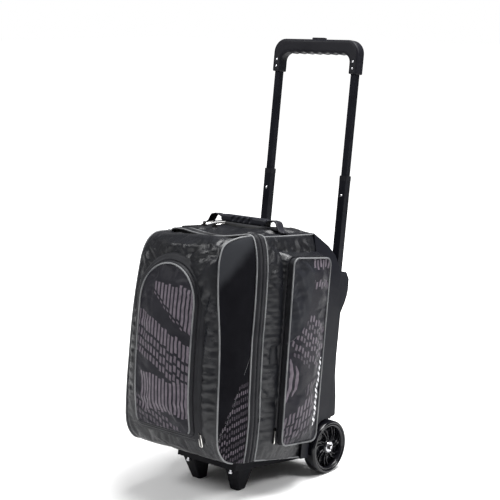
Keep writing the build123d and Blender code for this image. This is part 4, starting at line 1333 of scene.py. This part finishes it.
zip_face = on_front(zip_line[:, 0], zip_line[:, 1], 10.4) - zip_run
coil = row_of("pocket_zip_coil", [(zip_run, zip_face)], coil_turn, 1.9, coil_nylon)
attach(coil, "front_shell")

# ---- Side pockets ------------------------------------------------------------
# A boxed pocket stands on each side: a wrinkled gusset with a coil zip, and a piped
# cover hinged at its rear edge.  The cover joins plain satin to printed cloth at a
# curved seam, and a stripe of slanted white blocks runs down its rear.
cover_face_x, cover_zip_x = 175.0, 160.5
cover_low, cover_high, cover_corner = 30.0, 457.0, 17.0
cover_stations = 360
seam_in_cover = [(-154, 457), (-154, 440), (-156, 400), (-160, 350), (-170, 312), (-188, 285),
                 (-208, 272),
                 (-228, 267)]


def cover_span(z, grow=0.0):
    """Front and rear edge of the side pocket's face at a height."""
    low, high, corner = cover_low - grow, cover_high + grow, cover_corner
    t = (z - cover_low) / (cover_high - cover_low)
    front, rear = -208 - 16 * t - grow, -82 - 6 * t + grow
    near = np.clip(corner - np.minimum(z - low, high - z), 0, corner)
    cut = corner - np.sqrt(np.maximum(corner ** 2 - near ** 2, 0))
    return front + cut, rear - cut


def cover_line(grow=0.0, step=3.0):
    """The side pocket's outline as (y, z), grown by so much."""
    low, high = cover_low - grow, cover_high + grow
    z = np.concatenate([low + cover_corner * (1 - np.cos(np.linspace(0, math.pi / 2, 10))),
                        np.linspace(low + 20, high - 20, 60),
                        high - cover_corner + cover_corner * np.sin(np.linspace(0, math.pi / 2,
                                                                                10))])
    front, rear = cover_span(z, grow)
    line = list(zip(front, z)) + list(zip(rear[::-1], z[::-1]))
    line.append(line[0])
    return evenly(line, step)[0]


def side_extras(node, link, x, z, total):
    """Two long curved leaves near the front of the cover."""
    for middle_x, middle_z, reach, wide in ((-203, 180, 50, 5.0), (-186, 178, 36, 4.2)):
        rise = sum_of(node, link, "MULTIPLY_ADD", z, 1.0 / reach, -middle_z / reach)
        square = sum_of(node, link, "MULTIPLY", rise, rise)
        bow = sum_of(node, link, "MULTIPLY_ADD", square, 9.0, x)
        aside = sum_of(node, link, "MULTIPLY_ADD", bow, 1.0 / wide, -(middle_x + 5) / wide)
        aside = sum_of(node, link, "MULTIPLY", aside, aside)
        leaf = sum_of(node, link, "LESS_THAN", sum_of(node, link, "ADD", aside, square), 1.0)
        total = sum_of(node, link, "MAXIMUM", total, leaf)
    return total


def side_seam_paint(node, link, flat, x, z, colour):
    """Plain satin ahead of the curved seam, the print behind it, and the white blocks."""
    share = node("ShaderNodeMapRange")
    share.inputs["From Min"].default_value, share.inputs["From Max"].default_value = 250, 470
    link(z, share.inputs["Value"])
    curve = node("ShaderNodeFloatCurve")
    points = curve.mapping.curves[0].points
    spots = [((zz - 250) / 220, (yy + 240) / 160) for yy, zz in seam_in_cover[::-1]]
    while len(points) < len(spots):
        points.new(0.5, 0.5)
    for point, spot in zip(points, spots):
        point.location = spot
    curve.mapping.update()
    link(share.outputs["Result"], curve.inputs["Value"])
    seam_y = sum_of(node, link, "MULTIPLY_ADD", curve.outputs[0], 160.0, -240.0)
    ahead = sum_of(node, link, "LESS_THAN", x, seam_y)
    high = sum_of(node, link, "GREATER_THAN", z, 266.0)
    plain = sum_of(node, link, "MULTIPLY", ahead, high)
    clean = node("ShaderNodeMix")
    clean.data_type = "RGBA"
    link(plain, clean.inputs[0])
    link(colour, clean.inputs[6])
    clean.inputs[7].default_value = (*[c * 1.5 for c in satin_light], 1)
    line = sum_of(node, link, "MULTIPLY_ADD", z, -0.064, x)
    off = sum_of(node, link, "ABSOLUTE", sum_of(node, link, "ADD", line, 107.2), 0.0)
    wide = node("ShaderNodeMapRange")
    wide.inputs["From Min"].default_value, wide.inputs["From Max"].default_value = 60, 240
    wide.inputs["To Min"].default_value, wide.inputs["To Max"].default_value = 5.4, 3.2
    link(z, wide.inputs["Value"])
    inside = sum_of(node, link, "LESS_THAN", off, wide.outputs["Result"])
    slanted = sum_of(node, link, "MULTIPLY_ADD", x, 0.9, z)
    blocks = sum_of(node, link, "FRACT", sum_of(node, link, "DIVIDE", slanted, 14.0), 0.0)
    block = sum_of(node, link, "LESS_THAN", blocks, 0.64)
    over = sum_of(node, link, "GREATER_THAN", z, 68.0)
    under = sum_of(node, link, "LESS_THAN", z, 226.0)
    white = sum_of(node, link, "MULTIPLY", sum_of(node, link, "MULTIPLY", inside, block),
                   sum_of(node, link, "MULTIPLY", over, under))
    mix = node("ShaderNodeMix")
    mix.data_type = "RGBA"
    link(white, mix.inputs[0])
    link(clean.outputs[2], mix.inputs[6])
    mix.inputs[7].default_value = (0.62, 0.62, 0.64, 1)
    return mix.outputs[2]


side_print = woven_finish(
    "printed side cloth", (0.007, 0.0068, 0.010), (0.015, 0.0145, 0.019), 0.42, 0.03, 1000.0,
    0.0001,
    paint=print_paint([
        (436, 0.0, 458, 0.0, -152, -80, 1), (392, 0.0, 408, 0.0, -152, -80, 1),
        (236, 0.53, 251, 0.53, -160, -90, 1), (218, 0.53, 229, 0.53, -165, -90, 0.8),
        (194, 0.53, 209, 0.53, -196, -92, 1), (176, 0.53, 187, 0.53, -204, -96, 0.9),
        (150, 0.53, 164, 0.53, -206, -110, 0.8), (134, 0.53, 143, 0.53, -200, -140, 0.5),
        (238, -0.67, 262, -0.67, -150, -112, 0.5), (208, -0.67, 230, -0.67, -212, -112, 0.9),
        (184, -0.67, 203, -0.67, -212, -112, 0.85), (164, -0.67, 179, -0.67, -212, -116, 0.7),
        (146, -0.67, 158, -0.67, -205, -120, 0.4),
    ], 10.8, 0.52, 0.12, side_extras, side_seam_paint))
for name, side in (("left", -1), ("right", 1)):
    body = "side_cover_" + name
    z = np.concatenate([30 + 17 * (1 - np.cos(np.linspace(0, math.pi / 2, 7))),
                        np.linspace(51, 436, 108),
                        440 + 17 * np.sin(np.linspace(0, math.pi / 2, 7))])
    front, rear = cover_span(z)
    t = np.linspace(0, 1, 40)
    y = front[:, None] + (rear - front)[:, None] * t
    zz = np.repeat(z[:, None], len(t), 1)
    near = np.minimum(np.minimum(y - front[:, None], rear[:, None] - y),
                      np.minimum(zz - cover_low, cover_high - zz))
    out = cover_face_x - 1 + 5.0 * (1 - np.exp(-np.maximum(near, 0) / 14))
    face = np.stack([side * out, y, zz], 2)
    face = settled(face, grid_faces(*face.shape[:2]), edge_of(face, 1), 0.02, cap=5)
    normals = np.broadcast_to(np.array((side, 0.0, 0.0)), face.shape)
    for start, end, height, width in (
        ((-222, 440), (-160, 352), 3.5, 6), ((-206, 448), (-160, 392), -3.0, 6),
        ((-214, 420), (-166, 330), -3.5, 7),
        ((-196, 452), (-156, 420), 3.0, 5), ((-228, 400), (-184, 300), 3.5, 6),
        ((-226, 370), (-196, 282), -3.0, 6),
        ((-222, 330), (-188, 290), 2.5, 5), ((-222, 300), (-196, 274), -2.5, 5),
        ((-176, 452), (-158, 436), -2.5, 4),
        ((-130, 440), (-100, 330), 1.5, 14), ((-190, 240), (-120, 120), 1.6, 20),
        ((-200, 120), (-110, 190), -1.6, 14),
    ):
        face = fold(face, normals, (side * 178, *start), (side * 178, *end), height, width)
    flat = np.stack([y, zz], 2) / 1000
    cover = sheet_piece("side_pocket_face_" + name, face, flat, [side_print, lining], 2.0)
    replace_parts(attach(cover, body), "side_pocket_cover_" + name)
    outline = cover_line()
    wall = np.stack([np.stack([np.full(len(outline), side * x), *outline.T], 1)
                     for x in (cover_face_x - 0.5, 171.5, 167, 163.5, cover_zip_x + 1.0)], 1)
    run = length_along(outline)
    flat = np.stack(np.meshgrid([0, 4, 8, 12, 15], run), 2) / 1000
    piece = sheet_piece("side_pocket_cover_wall_" + name, wall, flat, [tape_grey, lining], 1.4,
                        centre=(side * 167, -155, 245))
    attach(piece, body)
    cord = np.stack([np.full(len(outline), side * (cover_face_x + 0.6)), *outline.T], 1)[:-1]
    piping("side_cover_piping_" + name, [cord], body, 1.9, closed=True)
    lines = []
    for x, grow, deep in ((cover_zip_x - 1.2, 0.2, 0), (158.8, 2.6, 0), (156.5, 3.8, 0),
                          (153.5, 4.6, 0),
                          (150.0, 6.5, 3), (146.6, 9.0, 6), (143.8, 10.5, 8)):
        line = respaced(cover_line(grow), cover_stations)
        frontness = np.clip((-150 - line[:, 0]) / 60, 0, 1)
        line[:, 0] -= deep * frontness
        inward = np.interp(line[:, 1], [350, 430, 470], [0, 4, 11])
        lines.append(np.stack([side * (x - inward * (deep / 8 + 0.02)), *line.T], 1))
    gusset = np.stack(lines, 1)
    fine = through(gusset, 16, 1)
    normals = outward(fine, (side * 150, -155, 245))
    along_z = fine[..., 2]
    depth = np.linspace(0, 1, 16)[None, :]
    ripple = np.sin(along_z / 3.1 + 2.0 * np.sin(along_z / 17)) * np.sin(math.pi * depth) ** 2
    fine = fine + normals * (1.1 * ripple * (0.5 + 0.5 * np.sin(along_z / 23 + 1)))[..., None]
    run = length_along(fine[:, 5])
    flat = np.stack(np.meshgrid(np.linspace(0, 20, 16), run), 2) / 1000
    piece = sheet_piece("side_pocket_gusset_" + name, fine, flat, [satin, lining], 1.6,
                        centre=(side * 150, -155, 245))
    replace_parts(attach(piece, "chassis"), "side_pocket_box_" + name)
    zip_edge = cover_line(1.2)
    run_line = np.stack([np.full(len(zip_edge), side * cover_zip_x), *zip_edge.T], 1)
    way = np.gradient(zip_edge, axis=0)
    facing_out = np.stack([np.zeros(len(way)), -way[:, 1], way[:, 0]], 1)
    facing_out /= np.linalg.norm(facing_out, axis=1, keepdims=True)
    facing_out *= np.sign(((zip_edge - (-155, 245)) * facing_out[:, 1:]).sum(1).mean())
    coil = row_of("side_zip_coil_" + name, [(run_line, facing_out)], coil_turn, 1.9, coil_nylon)
    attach(coil, "chassis")
    sewn = evenly(seam_in_cover, 3.0)[0]
    sewn_line = np.stack([np.full(len(sewn), side * (cover_face_x + 4.6)), *sewn.T], 1)
    row = row_of("side_cover_stitches_" + name, [(sewn_line, (side, 0, 0))], stitch, 4.2,
                 piping_grey)
    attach(row, body)

# ---- Seam piping -------------------------------------------------------------
# Silver piping is sewn into the side seams of the front shell, along both edges of
# the zip, and down the upper and lower seams of the ball compartment.


def on_seam(points, proud=1.2):
    """A line along a seam of the bag, lifted out of the cloth."""
    line, _ = evenly(through(points, 20 * len(points)), 3.0)
    away = (line - (0, -300, 245)) / (141, 112, 246)
    away = np.sign(away) * np.abs(away) ** 5 / (141, 112, 246)
    return line + proud * away / np.linalg.norm(away, axis=1, keepdims=True)


piping("front_piping", [on_seam(seam_right[:-1]), on_seam(seam_left[:-1]), band_line(-18.6, 1.7)],
       "front_shell")
rear_lines = [band_line(18.6, 1.7)]
for side, front_z in ((-1, 487), (1, 497)):
    rear_lines.append(evenly(through([(side * 122, -274, front_z + 1),
                                      (side * 123.5, -200, front_z * 0.5 + 252),
                                      (side * 122.5, -93, 505.5)], 60), 3.0)[0])
    rear_lines.append(evenly([(side * 142, -258, -4), (side * 141.5, -93, -16)], 3.0)[0])
piping("rear_piping", rear_lines, "chassis")

# ---- Carry handle ------------------------------------------------------------
# A moulded rubber grip with four finger hollows is threaded on nylon webbing.  The
# webbing loops out of each end and is cross-stitched to the roof seam.
soft_rubber = moulded_finish("soft rubber", (0.011, 0.0115, 0.015), 0.42, 700.0, 0.00004)
ribbed_webbing = woven_finish("ribbed webbing", (0.006, 0.006, 0.009), (0.015, 0.015, 0.020), 0.5,
                              0.05,
                              700.0, 0.0002)
hand = remeshed("carry_grip", "carry_grip_moulded", 0.0013, soft_rubber)
points = own_points(hand)
front_side = np.clip((-199 - points[:, 1]) / 5, 0, 1)
for middle in (-30, -13, 4, 21):
    slanted = points[:, 0] - middle - 0.35 * (points[:, 2] - 524)
    hollow = np.exp(-((slanted / 4.6) ** 2 + ((points[:, 2] - 525) / 7.0) ** 2) ** 2)
    points[:, 1] += 3.4 * hollow * front_side
end = np.clip((np.abs(points[:, 0]) - 58) / 9, 0, 1)
points[:, 2] -= 1.2 * end * np.sign(points[:, 2] - 524)
set_points(hand, points)
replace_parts(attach(hand, "carry_handle"), "carry_grip")
strap_y, strap_half, strap_columns = -195, 12.5, 13
straps = []
for name, side in (("left", -1), ("right", 1)):
    path = through([(56, 524), (66, 527), (76, 531), (88, 532.5), (98, 529), (103, 521), (107, 514),
                    (113, 510), (122, 508.6)], 90)
    path, _ = evenly(path, 2.0)
    across = np.linspace(-strap_half, strap_half, strap_columns)
    wide = np.interp(path[:, 0], [56, 70, 100, 122], [0.62, 0.8, 0.98, 1.0])
    grid = np.stack([np.broadcast_to((side * path[:, 0])[:, None], (len(path), strap_columns)),
                     strap_y + across[None, :] * wide[:, None],
                     path[:, 1][:, None] - 0.9 * (across[None, :] / strap_half) ** 4], 2)
    flat = np.stack(np.meshgrid(across, np.arange(len(path)) * 2.0), 2) / 1000
    strap = sheet_piece("carry_strap_" + name, grid, flat, [ribbed_webbing, ribbed_webbing], 2.2,
                        centre=(side * 85, strap_y, 480))
    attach(strap, "carry_handle")
    straps.append(strap)
    low_path, _ = evenly(through([(58, 520), (72, 518), (90, 515.4), (103, 513.4)], 50), 3.0)
    grid = np.stack([np.broadcast_to((side * low_path[:, 0])[:, None],
                                     (len(low_path), strap_columns)),
                     np.broadcast_to(strap_y + across[None, :] * 0.96,
                                     (len(low_path), strap_columns)),
                     np.broadcast_to((low_path[:, 1] - 2.2)[:, None],
                                     (len(low_path), strap_columns))], 2)
    flat = np.stack(np.meshgrid(across, np.arange(len(low_path)) * 3.0), 2) / 1000
    under_strap = sheet_piece("carry_strap_under_" + name, grid, flat,
                              [ribbed_webbing, ribbed_webbing], 1.8,
                              centre=(side * 85, strap_y, 480))
    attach(under_strap, "carry_handle")
    lines = []
    for across_y in (-10.4, 10.4):
        line = np.stack([side * path[:, 0], np.full(len(path), strap_y + across_y),
                         path[:, 1] + 0.2], 1)
        lines.append((line[path[:, 0] > 72], (0, 0, 1)))
    for y0, y1 in ((-205, -185), (-185, -205)):
        line, _ = evenly([(side * 110, y0, 510.2), (side * 121, y1, 507.4)], 2.0)
        lines.append((line, (0, 0, 1)))
    row = row_of("carry_strap_stitches_" + name, lines, stitch, 3.6, piping_grey)
    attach(row, "carry_handle")
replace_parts(straps[0], "carry_straps")
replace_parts(straps[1], "carry_straps")

# ---- Padding inside ----------------------------------------------------------
# Foam covered in grey lining: the two ball cups, the pad on the back plate, the
# board on the floor, and the divider that closes off the shoe room.
quilted = woven_finish("brushed lining", (0.018, 0.018, 0.02), (0.038, 0.038, 0.042), 0.8, 0.4,
                       800.0,
                       0.00015, "Object")


def swollen(node, name, body, voxel=0.005, cap=0.004, shrink=0.0012):
    """A soft copy of a padded part: evened out, blown up a little and smoothed."""
    pad = remeshed(node, name, voxel, quilted, 3)
    mesh = pad.data
    count = len(mesh.vertices)
    rest, away = np.zeros(count * 3), np.zeros(count * 3)
    mesh.vertices.foreach_get("co", rest)
    mesh.vertices.foreach_get("normal", away)
    rest, away = rest.reshape(-1, 3), away.reshape(-1, 3)
    rest -= away * shrink
    mesh.vertices.foreach_set("co", rest.ravel())
    mesh.update()
    cloth = pad.modifiers.new("cloth", "CLOTH")
    cloth.settings.quality = 4
    cloth.settings.use_pressure = True
    cloth.settings.uniform_pressure_force = 4
    cloth.settings.effector_weights.gravity = 0
    cloth.point_cache.frame_start, cloth.point_cache.frame_end = 1, 14
    for at in range(1, 15):
        scene.frame_set(at)
    shown = pad.evaluated_get(bpy.context.evaluated_depsgraph_get())
    moved = np.zeros(count * 3)
    shown.data.vertices.foreach_get("co", moved)
    pad.modifiers.remove(cloth)
    scene.frame_set(1)
    shift = moved.reshape(-1, 3) - rest
    far = np.linalg.norm(shift, axis=1, keepdims=True)
    rest += shift * np.minimum(1, cap / np.maximum(far, 1e-9))
    mesh.vertices.foreach_set("co", rest.ravel())
    mesh.update()
    rounder = pad.modifiers.new("rounder", "SUBSURF")
    rounder.levels = rounder.render_levels = 1
    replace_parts(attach(pad, body), node)
    return pad


swollen("ball_ring_lower", "ball_cup_lower", "chassis")
swollen("ball_ring_upper", "ball_cup_upper", "chassis")
swollen("rear_back_pad", "back_pad", "chassis", cap=0.0025)
swollen("base_board", "floor_pad", "chassis", 0.004, cap=0.002)
swollen("shoe_divider", "shoe_divider_pad", "front_shell", 0.003, cap=0.002, shrink=0.0006)

# ---- Stitching ---------------------------------------------------------------
# Lock stitches in grey thread hold the zip strips and the seams of the side
# panels.
for body, sign, name in (("front_shell", -1, "front"), ("chassis", 1, "rear")):
    row = row_of("zip_stitches_" + name, [(band_line(sign * 11.2, 1.7), band_facing)], stitch, 4.4,
                 tape_grey)
    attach(row, body)
low_seam = evenly(through([(0, -306, 250), (0, -330, 190), (0, -358, 120), (0, -384, 72),
                           (0, -398, 50)], 60),
                  3.0)[0]
lines = []
for side in (-1, 1):
    line = low_seam.copy()
    line[:, 0] = side * (side_x(line[:, 2]) + 1.4)
    lines.append((line, (side, 0, 0)))
row = row_of("side_panel_stitches", lines, stitch, 4.2, piping_grey)
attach(row, "front_shell")
for extra in (stitch, coil_turn):
    bpy.data.objects.remove(extra)
